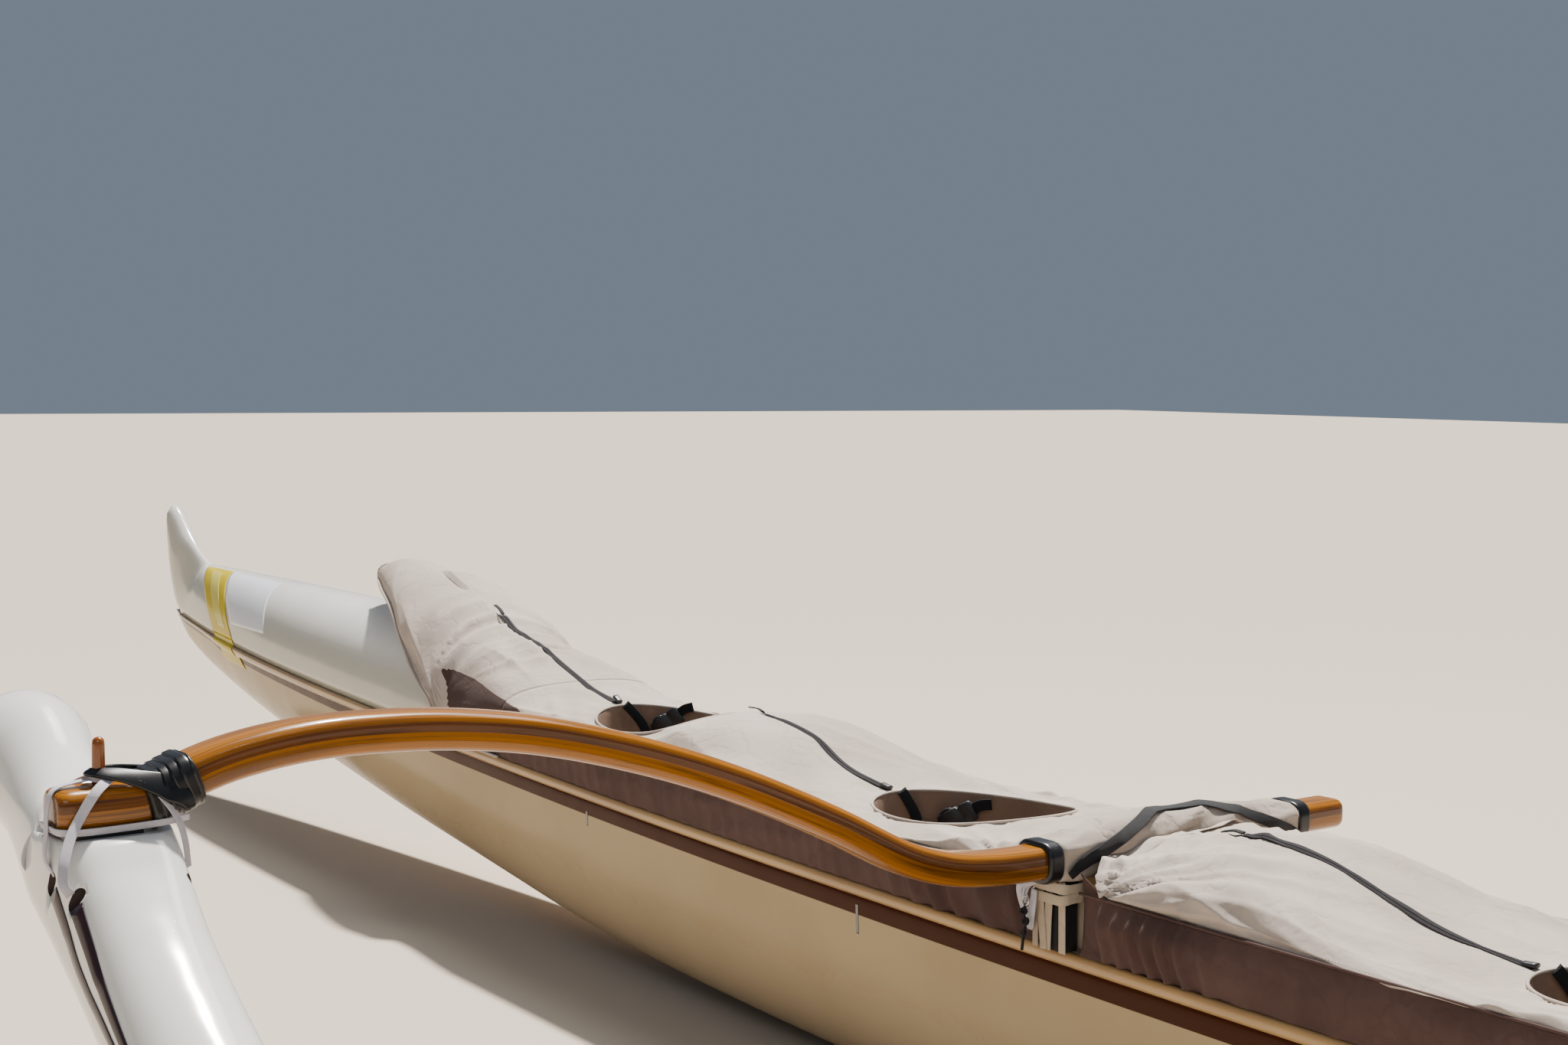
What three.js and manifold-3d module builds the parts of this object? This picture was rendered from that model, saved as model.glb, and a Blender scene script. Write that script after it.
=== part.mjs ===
import * as THREE from 'three';
import { mergeVertices } from 'three/addons/utils/BufferGeometryUtils.js';
import Module from 'manifold-3d';

// A six-seat racing outrigger canoe, in millimetres.
// +X points to the bow, +Y to port, where the float lies, and +Z up.
// The floor is at Z = 0. The origin is under the middle of the whole canoe.

const wasm = await Module();
wasm.setup();

// Driving dimensions
const SEAT_GAP = 0.3;              // clearance between pieces that bear on each other
const WALL = 12;                   // hull side
const BOTTOM = 16;                 // hull bottom
const KEEL_FLAT = 26;              // half width of the flat strip along the keel
const COCKPIT_END = 4150;          // half length of the open cockpit
const STEM = 6600;                 // where the gunwales meet the stem
const SHEER_MIDDLE = 455;          // gunwale height amidships
const SHEER_RISE = 135;            // how much higher the gunwale is at the stem
const SHEER_POWER = 2.6;
const V_START = 3600;              // from here to the stem the hull's sections turn from a U into a V
const V_SHARE = 0.75;              // how far they have turned at the stem
const RAIL_HEIGHT = 28;
const RAIL_THICK = 14;
const RAIL_TAPER = 6000;           // beyond this the moulding is half as deep
const RAIL_END = 6500;

// Counts of straight pieces that stand for a curve
const SIDE_STEPS = 8;              // a hull section, keel to gunwale
const ARCH_STEPS = 12;             // an arch from side to side
const HOLE_STEPS = 28;             // round a seat hole
const FLOAT_STEPS = 20;            // round the float

const IAKO_SPACING = 3300;         // between the two cross booms
const IAKO_WIDTH = 76;             // fore and aft
const IAKO_HEIGHT = 58;
const BEND_STEP = 35;              // between the boom's sections where it bends down to its foot
const STUB_REACH = 485;            // starboard end of a boom, from the hull's centreline
const SLEEVE_STARBOARD = -335;     // ends of the padded sleeve, from the hull's centreline
const SLEEVE_PORT = 300;
const BAND_WIDTH = 34;
const BAND_THICK = 9;
const POST_OFFSET = 268;           // from the hull's centreline to a post's middle
const POST_LENGTH = 84;
const POST_WIDTH = 58;
const WRAP_START = 1902;           // rubber wrap round the boom's bend, from the hull's centreline
const WRAP_END = 1972;
const WRAP_THICK = 7;
const FOOT_END = 2090;             // port end of a boom
const PEG_OFFSET = 2026;
const PEG_HEIGHT = 62;
const PEG_RADIUS = 9;

const FLOAT_OFFSET = 2010;         // from the hull's centreline to the float's
const FLOAT_HALF = 135;
const SADDLE_Z = 885;              // flat seat on the float that the boom's foot stands on
const SADDLE_LENGTH = 100;
const PAD_THICK = 5;
const PAD_LENGTH = 72;
const PAD_WIDTH = 104;
const STRAP_WIDTH = 28;
const STRAP_THICK = 4;

const COVER_THICK = 8;
const SKIRT_HEIGHT = 115;          // brown side panel of the spray cover
const SKIRT_OUT = 8;               // how far the skirt's foot stands outside the hull wall
const COVER_GAP = 56;              // from a boom's middle to the cover's hem
const HOLE_HALF_LENGTH = 250;
const HOLE_HALF_WIDTH = 178;
const COLLAR_DROP = 120;
const COLLAR_THICK = 6;

// Columns: x from midship, keel height, half beam at the gunwale, deck crown height (0 over the cockpit)
const HULL_LINES = [
  [0, 0, 265, 0], [700, 0, 265, 0], [1500, 0, 264, 0], [2100, 4, 262, 0], [2700, 14, 257, 0],
  [3200, 34, 249, 0], [3600, 64, 240, 0], [3950, 102, 232, 0], [4150, 124, 227, 745],
  [4550, 168, 214, 770], [4850, 206, 203, 775], [5200, 252, 185, 778], [5600, 308, 158, 779],
  [6000, 380, 118, 779], [6300, 448, 77, 778], [6500, 516, 45, 0], [6600, 575, 24, 0],
];

// Columns: foot x, foot height, top x, top height, half width at the foot, added half width midway
const HORN_LINES = [
  [6500, 0, 6345, 785, 45, 8], [6600, 0, 6440, 822, 24, 22], [6640, 680, 6515, 868, 22, 26],
  [6668, 780, 6575, 912, 20, 22], [6690, 870, 6620, 948, 18, 17], [6700, 925, 6652, 968, 14, 12],
  [6698, 948, 6668, 976, 6, 6],
];
const HORN_ROUND = [6500, 6640];   // between these the sections turn from flat-footed to round

// Columns: x from midship, height of the cover's ridge, fullness of the cover's arch (2 is round,
// more is squarer). The cover dips to each seat hole.
const RIDGE = [
  [0, 680, 2.2], [150, 662, 2.2], [330, 612, 2.2], [580, 588, 2.2], [830, 566, 2.6],
  [1050, 590, 3.2], [1250, 654, 3], [1400, 672, 2.4], [1600, 654, 2.2], [1700, 646, 2.2],
  [1900, 628, 2.4], [2150, 596, 2.4], [2400, 588, 2.8], [2600, 610, 2.8], [2800, 678, 2.5],
  [3000, 690, 2.3], [3200, 632, 2.3], [3450, 624, 2.3], [3700, 656, 2.6], [3800, 683, 2.6],
  [3900, 708, 2.5], [4110, 765, 2.2],
];

// Columns: x, half width, height of the free edge (0 where it stands on the rail), ridge height,
// fullness of the arch (0 where it goes on as the cover's own)
const HOOD_START = 3760;
const HOOD_LINES = [
  [HOOD_START, 0, 0, 0, 5.2], [3940, 0, 0, 0, 2.7], [4110, 0, 0, 765, 2.2], [4145, 250, 580, 779, 2.1],
  [4210, 248, 622, 806, 2], [4280, 241, 664, 834, 1.95], [4400, 214, 738, 868, 1.9],
  [4540, 172, 800, 902, 2], [4725, 114, 842, 916, 2.2], [4895, 36, 862, 892, 2.2],
];

// The cover's aft end, drawn down over the stern deck, with the same columns
const APRON_LINES = [
  [HOOD_START, 0, 0, 0, 5.2], [3950, 0, 0, 732, 2.7], [4150, 0, 0, 783, 2.2], [4350, 0, 0, 808, 2.2],
  [4550, 0, 0, 808, 2.2], [4720, 0, 0, 784, 2.2],
];

// Columns: distance from the hull's centreline to port, height of the boom's middle line
const IAKO_LINE = [
  [-STUB_REACH, 627], [-250, 627], [0, 627], [340, 627], [370, 627], [450, 631], [550, 645],
  [650, 677], [810, 757], [1000, 841], [1180, 905], [1360, 953], [1510, 976], [1650, 984],
  [1750, 981], [1840, 968], [1900, 951], [1940, 933], [1972, 921.5], [1990, 920], [2040, 920],
  [FOOT_END, 920],
];

// Columns: distance fore or aft of midship, height of the float's middle line, half width,
// depth below that line, rise above it (both square to the line), roundness of the top (1 is round)
const FLOAT_LINES = [
  [0, 130, FLOAT_HALF, 130, 120, 0.95], [350, 200, 129, 127, 118, 0.95],
  [700, 322, 115, 116, 112, 0.95], [1000, 448, 100, 104, 102, 0.95], [1300, 593, 88, 92, 93, 0.9],
  [1500, 700, 84, 88, 96, 0.75], [1600, 756, 86, 88, 108, 0.6], [1655, 787, 88, 88, 119, 0.55],
  [1710, 817, 90, 89, 117, 0.55], [1760, 843, 86, 88, 102, 0.65],
];
const NOSE_LINES = [
  [1820, 868, 78, 85, 88, 0.85], [1880, 892, 74, 83, 84, 0.95], [1930, 911, 80, 86, 87, 1],
  [1980, 931, 89, 91, 95, 1], [2035, 945, 84, 82, 86, 1], [2073, 954, 62, 60, 62, 1],
  [2092, 958, 34, 32, 34, 1],
];
const TAIL_LINES = [
  [1820, 868, 90, 88, 98, 0.85], [1960, 912, 82, 80, 84, 0.95], [2150, 958, 66, 64, 66, 1],
  [2350, 994, 46, 44, 46, 1], [2500, 1014, 25, 23, 25, 1], [2555, 1020, 10, 9, 10, 1],
];

// Columns: name, x of the seat hole's middle
const SEATS = [
  ['seat_1', 3300], ['seat_2', 2190], ['seat_3', 580], ['seat_4', -580], ['seat_5', -2190],
  ['seat_6', -3300],
];
const SEAT_TOP = 285;
const SEAT_THICK = 22;
const SEAT_DEPTH = 300;

// Columns: name, x of the boom's middle
const IAKOS = [['front', IAKO_SPACING / 2], ['rear', -IAKO_SPACING / 2]];

const paint = (color, roughness, metalness = 0) =>
  new THREE.MeshStandardMaterial({ color, roughness, metalness });
const FINISH = {
  hull: () => paint(0xd9d2c0, 0.25),
  rail: () => paint(0xb89b6a, 0.45),
  wood: () => paint(0xb5651d, 0.3),
  canvas: () => paint(0xc9c0b4, 0.9),
  skirt: () => paint(0x4a3832, 0.85),
  collar: () => paint(0x6b5547, 0.9),
  rubber: () => paint(0x1c1d20, 0.7),
  webbing: () => paint(0xd8d2dc, 0.8),
  strap: () => paint(0xb9a98c, 0.8),
};

// Smooth value of a table's column at x, through every row of the table
function along(table, column, x) {
  const last = table.length - 2;
  let i = 0;
  while (i < last && x > table[i + 1][0]) i += 1;
  const slope = (k) => {
    const a = Math.max(k - 1, 0);
    const b = Math.min(k + 1, table.length - 1);
    return (table[b][column] - table[a][column]) / (table[b][0] - table[a][0]);
  };
  const [x0, x1] = [table[i][0], table[i + 1][0]];
  const step = x1 - x0;
  const t = Math.min(Math.max((x - x0) / step, 0), 1);
  const rise = table[i + 1][column] - table[i][column];
  const a = slope(i) * step - rise;
  const b = rise - slope(i + 1) * step;
  return table[i][column] + t * rise + t * (1 - t) * (a * (1 - t) + b * t);
}

// Straight-line value of a table's column at x
function between(table, column, x) {
  let i = 0;
  while (i < table.length - 2 && x > table[i + 1][0]) i += 1;
  const t = (x - table[i][0]) / (table[i + 1][0] - table[i][0]);
  return table[i][column] + t * (table[i + 1][column] - table[i][column]);
}

// How far x has gone from one value to another, kept within 0 and 1
const share = (x, from, to) => Math.min(Math.max((x - from) / (to - from), 0), 1);

const sheer = (x) => SHEER_MIDDLE + SHEER_RISE * (Math.abs(x) / STEM) ** SHEER_POWER;
const sheerAt = (x) => between(HULL_LINES.map((row) => [row[0], sheer(row[0])]), 1, Math.abs(x));
const beamAt = (x) => between(HULL_LINES, 2, Math.abs(x));

// A closed mesh from its points and faces, turned so that its faces point outwards
function solid(points, faces) {
  const geometry = new THREE.BufferGeometry();
  geometry.setAttribute('position', new THREE.Float32BufferAttribute(points.flat(), 3));
  geometry.setIndex(faces.flat());
  const merged = mergeVertices(geometry, 0.01);
  const index = merged.getIndex().array;
  const position = merged.getAttribute('position');
  const kept = [];
  let volume = 0;
  const [a, b, c] = [new THREE.Vector3(), new THREE.Vector3(), new THREE.Vector3()];
  for (let i = 0; i < index.length; i += 3) {
    const [p, q, r] = [index[i], index[i + 1], index[i + 2]];
    if (p === q || q === r || p === r) continue;
    a.fromBufferAttribute(position, p);
    b.fromBufferAttribute(position, q);
    c.fromBufferAttribute(position, r);
    volume += a.dot(b.cross(c));
    kept.push([p, q, r]);
  }
  merged.setIndex(kept.map((f) => (volume > 0 ? f : [f[0], f[2], f[1]])).flat());
  merged.computeVertexNormals();
  return merged;
}

const quad = (a, b, c, d) => [[a, b, c], [a, c, d]];

// A solid through rings of points, closed with a fan at each end
function loft(rings) {
  const count = rings[0].length;
  const points = rings.flat();
  const faces = [];
  for (let i = 0; i < rings.length - 1; i += 1) {
    for (let j = 0; j < count; j += 1) {
      const next = (j + 1) % count;
      faces.push(...quad(i * count + j, i * count + next, (i + 1) * count + next, (i + 1) * count + j));
    }
  }
  const ends = [[0, 1], [rings.length - 1, -1]];
  for (const [ring, way] of ends) {
    const middle = [0, 1, 2].map((k) => rings[ring].reduce((sum, p) => sum + p[k], 0) / count);
    points.push(middle);
    for (let j = 0; j < count; j += 1) {
      const [p, q] = [ring * count + j, ring * count + ((j + 1) % count)];
      faces.push(way > 0 ? [points.length - 1, q, p] : [points.length - 1, p, q]);
    }
  }
  return solid(points, faces);
}

// A wall between an outer and an inner grid of points, closed along its four edges
function shell(outer, inner, ring = false) {
  const [rows, columns] = [outer.length, outer[0].length];
  const half = rows * columns;
  const points = [...outer.flat(), ...inner.flat()];
  const faces = [];
  const at = (i, j) => i * columns + (j % columns);
  const across = ring ? columns : columns - 1;
  for (let i = 0; i < rows - 1; i += 1) {
    for (let j = 0; j < across; j += 1) {
      const [p, q, r, s] = [at(i, j), at(i, j + 1), at(i + 1, j + 1), at(i + 1, j)];
      faces.push(...quad(p, q, r, s), ...quad(half + s, half + r, half + q, half + p));
    }
  }
  for (let j = 0; j < across; j += 1) {
    const [p, q, r, s] = [at(0, j), at(0, j + 1), at(rows - 1, j), at(rows - 1, j + 1)];
    faces.push(...quad(half + p, half + q, q, p), ...quad(r, s, half + s, half + r));
  }
  if (!ring) {
    for (let i = 0; i < rows - 1; i += 1) {
      const [p, q, r, s] = [at(i, 0), at(i + 1, 0), at(i, columns - 1), at(i + 1, columns - 1)];
      faces.push(...quad(p, q, half + q, half + p), ...quad(half + r, half + s, s, r));
    }
  }
  return solid(points, faces);
}

// The solid of a mesh, for joining and cutting
function body(geometry) {
  return new wasm.Manifold(new wasm.Mesh({
    numProp: 3,
    vertProperties: new Float32Array(geometry.getAttribute('position').array),
    triVerts: new Uint32Array(geometry.getIndex().array),
  }));
}

function geometryOf(manifold) {
  const mesh = manifold.getMesh();
  const geometry = new THREE.BufferGeometry();
  geometry.setAttribute('position', new THREE.Float32BufferAttribute(mesh.vertProperties, 3));
  geometry.setIndex(Array.from(mesh.triVerts));
  geometry.computeVertexNormals();
  return geometry;
}

function plain(geometry, x, y, z) {
  geometry.deleteAttribute('normal');
  geometry.deleteAttribute('uv');
  return mergeVertices(geometry.translate(x, y, z), 0.001);
}

const box = (sx, sy, sz, x, y, z) => plain(new THREE.BoxGeometry(sx, sy, sz), x, y, z);

// A hull section at x, from the starboard gunwale under the keel to the port gunwale.
// inset moves its sides inwards, floor lifts its bottom, top carries its sides up past the gunwale.
function hullSection(x, inset = 0, floor = 0, top = null) {
  const z0 = between(HULL_LINES, 1, Math.abs(x)) + floor;
  const z1 = sheerAt(x);
  const half = Math.max(beamAt(x) - inset, 2);
  const flat = Math.min(KEEL_FLAT, half * 0.5);
  const sharp = V_SHARE * share(Math.abs(x), V_START, STEM);
  const side = [];
  for (let i = 0; i <= SIDE_STEPS; i += 1) {
    const a = (i / SIDE_STEPS) * (Math.PI / 2);
    const up = 1 - Math.cos(a) ** 0.85;
    const out = Math.sin(a) ** 0.85 * (1 - sharp) + up ** 0.8 * sharp;
    side.push([flat + (half - flat) * out, z0 + (z1 - z0) * up]);
  }
  if (top !== null) side.push([half, z1 + top]);
  const port = side.map(([y, z]) => [x, y, z]);
  return [...port.map(([px, y, z]) => [px, -y, z]).reverse(), ...port];
}

const halfStations = HULL_LINES.map((row) => row[0]);
const stations = [...halfStations.slice(1).map((x) => -x).reverse(), ...halfStations];

function hullBody() {
  const outside = body(loft(stations.map((x) => hullSection(x))));
  return geometryOf(outside.subtract(body(cavity(0))));
}

// The room inside the cockpit, made smaller by clearance and open above the gunwales
function cavity(clearance) {
  const end = COCKPIT_END - BOTTOM;
  const above = 60;
  const inside = stations.filter((x) => Math.abs(x) < end);
  return loft([-end, ...inside, end].map(
    (x) => hullSection(x, WALL + clearance, BOTTOM + clearance, above),
  ));
}

// A closed deck with the upswept horn at its end. way is 1 at the bow and -1 at the stern.
function deck(way) {
  const rows = HULL_LINES.filter((row) => row[3] > 0)
    .map(([x, , half, crown]) => [x, 0, x, crown, half, 0]);
  const rings = [...rows, ...HORN_LINES].map(([footX, footZ, topX, topZ, half, bulge]) => {
    const low = footZ || sheer(footX) + SEAT_GAP;
    const rounding = share(footX, ...HORN_ROUND);
    const mix = (a, b) => a + (b - a) * rounding;
    const ring = [];
    for (let i = 0; i <= ARCH_STEPS; i += 1) {
      const a = (i / ARCH_STEPS) * Math.PI;
      const b = ((i + 0.5) / (ARCH_STEPS + 1)) * 2 * Math.PI - Math.PI / 2;
      const up = mix(Math.sin(a) ** 0.9, (1 + Math.sin(b)) / 2);
      const side = mix(-Math.sign(Math.cos(a)) * Math.abs(Math.cos(a)) ** 0.9, -Math.cos(b));
      const wide = half + bulge * mix(Math.sin(Math.PI * up), 1);
      ring.push([way * (footX + (topX - footX) * up), wide * side, low + (topZ - low) * up]);
    }
    return ring;
  });
  return loft(rings);
}

// The gunwale moulding along one side. side is 1 to port and -1 to starboard.
function rail(side) {
  const ends = stations.filter((x) => Math.abs(x) <= RAIL_END);
  const rings = ends.map((x) => {
    const inner = beamAt(x) + SEAT_GAP;
    const top = sheerAt(x);
    const taper = Math.abs(x) > RAIL_TAPER ? 0.5 : 1;
    const [thick, high] = [RAIL_THICK * taper, RAIL_HEIGHT * taper];
    const low = hullSideAt(x, top - high) + SEAT_GAP;
    return [
      [x, side * inner, top], [x, side * (inner + thick * 0.7), top],
      [x, side * (inner + thick), top - high * 0.3], [x, side * (inner + thick), top - high * 0.75],
      [x, side * Math.max(low, inner + thick * 0.4), top - high], [x, side * inner, top - high],
    ];
  });
  return loft(rings);
}

// Half breadth of the hull's outside at x and height z
function hullSideAt(x, z) {
  const ring = hullSection(x).filter(([, y]) => y > 0);
  for (let i = 0; i < ring.length - 1; i += 1) {
    const [, y0, z0] = ring[i];
    const [, y1, z1] = ring[i + 1];
    if (z <= z1) return y0 + ((y1 - y0) * (z - z0)) / (z1 - z0);
  }
  return ring[ring.length - 1][1];
}

function bench(x) {
  const across = 2 * beamAt(0);
  const plank = body(box(SEAT_DEPTH, across, SEAT_THICK, x, 0, SEAT_TOP - SEAT_THICK / 2));
  return geometryOf(plank.intersect(body(cavity(SEAT_GAP))));
}

// A ring round the boom at distance y along its line, grown by extra on every side
function boomRing(x, y, extra = 0) {
  const step = 4;
  const z = along(IAKO_LINE, 1, y);
  const rise = (along(IAKO_LINE, 1, y + step) - along(IAKO_LINE, 1, y - step)) / (2 * step);
  const turn = Math.atan(rise);
  const [w, h, corner] = [IAKO_WIDTH / 2 + extra, IAKO_HEIGHT / 2 + extra, 16];
  const outline = [
    [w, h - corner], [w - corner * 0.3, h - corner * 0.3], [w - corner, h],
    [-w + corner, h], [-w + corner * 0.3, h - corner * 0.3], [-w, h - corner],
    [-w, -h + corner], [-w + corner * 0.3, -h + corner * 0.3], [-w + corner, -h],
    [w - corner, -h], [w - corner * 0.3, -h + corner * 0.3], [w, -h + corner],
  ];
  return outline.map(([u, v]) => [x + u, y - v * Math.sin(turn), z + v * Math.cos(turn)]);
}

// A cross boom of laminated wood, with a narrowed tip at each end
function iako(x) {
  const tip = 14;
  const shoulder = SLEEVE_STARBOARD - BAND_WIDTH - 5;
  const arc = evenly(340, WRAP_START, 72);
  const bend = evenly(WRAP_START, WRAP_END, BEND_STEP).slice(1);
  const rings = [
    shrunk(boomRing(x, -STUB_REACH)),
    ...[-STUB_REACH + tip, shoulder, 0, ...arc, ...bend, 1990, FOOT_END - tip]
      .map((y) => boomRing(x, y)),
    shrunk(boomRing(x, FOOT_END)),
  ];
  return loft(rings);
}

function shrunk(ring) {
  const scale = 0.72;
  const middle = [0, 1, 2].map((k) => ring.reduce((sum, p) => sum + p[k], 0) / ring.length);
  return ring.map((p) => p.map((value, k) => middle[k] + (value - middle[k]) * scale));
}

// A wall wrapped round the boom between two places along it
function wrapped(x, from, to, thick, count) {
  const places = Array.from({ length: count + 1 }, (_, i) => from + ((to - from) * i) / count);
  return shell(
    places.map((y) => boomRing(x, y, thick)),
    places.map((y) => boomRing(x, y, SEAT_GAP)),
    true,
  );
}

const ridgeAt = (x) => along(RIDGE, 1, Math.abs(x));
const fullnessAt = (x) => along(RIDGE, 2, Math.abs(x));
const seamAt = (x) => sheerAt(x) + SKIRT_HEIGHT;
const coverHalfAt = (x) => beamAt(x) + SKIRT_OUT;

// Height of the cover's top at x and y
function coverHeight(x, y) {
  const n = fullnessAt(x);
  const side = Math.min(Math.abs(y) / coverHalfAt(x), 1);
  const low = seamAt(x);
  return low + (ridgeAt(x) - low) * (1 - side ** n) ** (1 / n);
}

// An arch from starboard to port: half width and height at its foot, height at its ridge
function arch(x, half, foot, ridge, fullness) {
  const power = 2 / fullness;
  return Array.from({ length: ARCH_STEPS + 1 }, (_, i) => {
    const a = (i / ARCH_STEPS) * Math.PI;
    const side = -Math.sign(Math.cos(a)) * Math.abs(Math.cos(a)) ** power;
    return [x, half * side, foot + (ridge - foot) * Math.sin(a) ** power];
  });
}

function evenly(from, to, step) {
  const count = Math.ceil((to - from) / step);
  return Array.from({ length: count + 1 }, (_, i) => from + ((to - from) * i) / count);
}

function oval(cx, halfLength, halfWidth) {
  return Array.from({ length: HOLE_STEPS }, (_, i) => {
    const a = (i / HOLE_STEPS) * Math.PI * 2;
    return [cx + halfLength * Math.cos(a), halfWidth * Math.sin(a)];
  });
}

// The cover's canvas top between two stations, with its seat holes cut
function coverTop(from, to) {
  const places = evenly(from, to, 110);
  const skin = (drop) => places.map((x) => arch(
    x, coverHalfAt(x) - drop, seamAt(x) + SEAT_GAP, ridgeAt(x) - drop, fullnessAt(x),
  ));
  let cloth = body(shell(skin(0), skin(COVER_THICK)));
  for (const [, x] of SEATS.filter((row) => row[1] > from && row[1] < to)) {
    const edge = oval(x, HOLE_HALF_LENGTH, HOLE_HALF_WIDTH);
    const heights = [SHEER_MIDDLE, 2 * SHEER_MIDDLE];
    const cut = body(loft(heights.map((z) => edge.map(([px, py]) => [px, py, z]))));
    cloth = cloth.subtract(cut);
  }
  return geometryOf(cloth);
}

// The brown side panel under the canvas, from the gunwale to the seam
function skirt(from, to, side) {
  const places = evenly(from, to, 220);
  const belly = 6;
  const face = (drop) => places.map((x) => {
    const [low, high, out] = [sheerAt(x) + SEAT_GAP, seamAt(x), coverHalfAt(x) - drop];
    return [
      [x, side * out, low], [x, side * (out + belly), low + SKIRT_HEIGHT * 0.35],
      [x, side * (out + belly), low + SKIRT_HEIGHT * 0.7], [x, side * out, high],
    ];
  });
  return shell(face(0), face(COVER_THICK));
}

// The fabric collar that hangs inside a seat hole, standing a little proud of the cover
function collar(cx) {
  const proud = 3;
  const face = (shrink) => {
    const rim = oval(cx, HOLE_HALF_LENGTH - shrink, HOLE_HALF_WIDTH - shrink);
    return [0, 0.4, 1].map((depth) => rim.map(
      ([x, y]) => [x, y, coverHeight(x, y) + proud - COLLAR_DROP * depth],
    ));
  };
  return shell(face(SEAT_GAP), face(SEAT_GAP + COLLAR_THICK), true);
}

// An end of the cover. way is 1 for the splash hood, whose free edge stands forward
// over the deck, and -1 for the apron on the stern deck.
function coverEnd(lines, way) {
  const proud = 3;
  const rows = lines.map(([x, half, edge, ridge, fullness]) => [
    way * x, half || coverHalfAt(x) + proud, edge || sheerAt(x) + SEAT_GAP, ridge || ridgeAt(x),
    fullness || fullnessAt(x),
  ]);
  const skin = (drop) => rows.map(([x, half, edge, ridge, fullness]) => arch(
    x, half - drop, edge, ridge - drop, fullness,
  ));
  return shell(skin(0), skin(COVER_THICK));
}

// The block and straps that carry the boom on one gunwale
function lashingPost(x, side) {
  const low = sheerAt(x) + SEAT_GAP;
  const y = side * POST_OFFSET;
  const high = along(IAKO_LINE, 1, y) - IAKO_HEIGHT / 2 - COVER_THICK - SEAT_GAP;
  return box(POST_LENGTH, POST_WIDTH, high - low, x, y, (low + high) / 2);
}

// A ring of the float, square to its middle line. rows is the float's whole table from the tail.
function floatRing(rows, i) {
  const [x, z, half, depth, rise, roundness] = rows[i];
  const [before, after] = [rows[Math.max(i - 1, 0)], rows[Math.min(i + 1, rows.length - 1)]];
  const slope = Math.atan2(after[1] - before[1], after[0] - before[0]);
  return Array.from({ length: FLOAT_STEPS }, (_, k) => {
    const a = (k / FLOAT_STEPS) * Math.PI * 2;
    const [s, c] = [Math.sin(a), Math.cos(a)];
    const power = s > 0 ? roundness : 1;
    const up = (s > 0 ? rise : depth) * Math.sign(s) * Math.abs(s) ** power;
    const side = half * Math.sign(c) * Math.abs(c) ** power;
    return [x - up * Math.sin(slope), side, z + up * Math.cos(slope)];
  });
}

// The float: a banana-shaped tube with a round nose, a tapered tail and two flat saddles
function float() {
  const aft = [...FLOAT_LINES.slice(1), ...TAIL_LINES].map(([x, ...rest]) => [-x, ...rest]);
  const rows = [...aft.reverse(), ...FLOAT_LINES, ...NOSE_LINES];
  let tube = body(loft(rows.map((_, i) => floatRing(rows, i))));
  const room = 60;
  for (const [, x] of IAKOS) {
    const cut = box(SADDLE_LENGTH, 2 * FLOAT_HALF, room, x, 0, SADDLE_Z + room / 2);
    tube = tube.subtract(body(cut));
  }
  return geometryOf(tube);
}

// A flat strap over the boom's foot, with both legs down on the float's saddle
function strap(x, y) {
  const [low, thick, half] = [SADDLE_Z + SEAT_GAP, STRAP_THICK, STRAP_WIDTH / 2];
  const top = along(IAKO_LINE, 1, y - half) + IAKO_HEIGHT / 2 + 2 * SEAT_GAP;
  const side = IAKO_WIDTH / 2 + SEAT_GAP;
  const path = (grow) => [
    [x - side - grow, low], [x - side - grow, top + grow], [x + side + grow, top + grow],
    [x + side + grow, low],
  ];
  const face = (grow) => path(grow).map(([px, z]) => [[px, y - half, z], [px, y + half, z]]);
  return body(shell(face(thick), face(0)));
}

// Two straps over the boom's foot, either side of the peg, joined by a turn of the same webbing
function lashing(x) {
  const [tieWidth, behindPeg] = [16, 22];
  const [inboard, outboard] = [PEG_OFFSET - STRAP_WIDTH, PEG_OFFSET + STRAP_WIDTH - 3];
  const top = along(IAKO_LINE, 1, inboard) + IAKO_HEIGHT / 2 + 2 * SEAT_GAP + STRAP_THICK / 2;
  const middle = (inboard + outboard) / 2;
  const tie = body(box(tieWidth, outboard - inboard, STRAP_THICK, x - behindPeg, middle, top));
  return geometryOf(strap(x, inboard).add(strap(x, outboard)).add(tie));
}

// The wooden pin that the rubber wrap is hooked over, on top of the boom's foot
function peg(x) {
  const foot = along(IAKO_LINE, 1, PEG_OFFSET) + IAKO_HEIGHT / 2 + SEAT_GAP;
  const pin = new THREE.CylinderGeometry(PEG_RADIUS * 0.8, PEG_RADIUS, PEG_HEIGHT, 12);
  return plain(pin.rotateX(Math.PI / 2), x, PEG_OFFSET, foot + PEG_HEIGHT / 2);
}

// The rubber sheet between the boom's foot and the float's saddle
function footPad(x) {
  const thick = PAD_THICK - SEAT_GAP;
  const middle = SADDLE_Z + SEAT_GAP + thick / 2;
  return box(PAD_LENGTH, PAD_WIDTH, thick, x, (WRAP_END + FOOT_END) / 2, middle);
}

const canoe = new THREE.Group();
canoe.position.y = -(FLOAT_OFFSET + FLOAT_HALF - STUB_REACH) / 2;

function add(name, geometry, finish) {
  const mesh = new THREE.Mesh(geometry, FINISH[finish]());
  mesh.name = name;
  canoe.add(mesh);
  return mesh;
}

const SIDES = [['port', 1], ['starboard', -1]];

add('hull', hullBody(), 'hull');
add('bow_deck', deck(1), 'hull');
add('stern_deck', deck(-1), 'hull');
for (const [name, side] of SIDES) add(`gunwale_rail_${name}`, rail(side), 'rail');
for (const [name, x] of SEATS) add(name, bench(x), 'hull');

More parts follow.
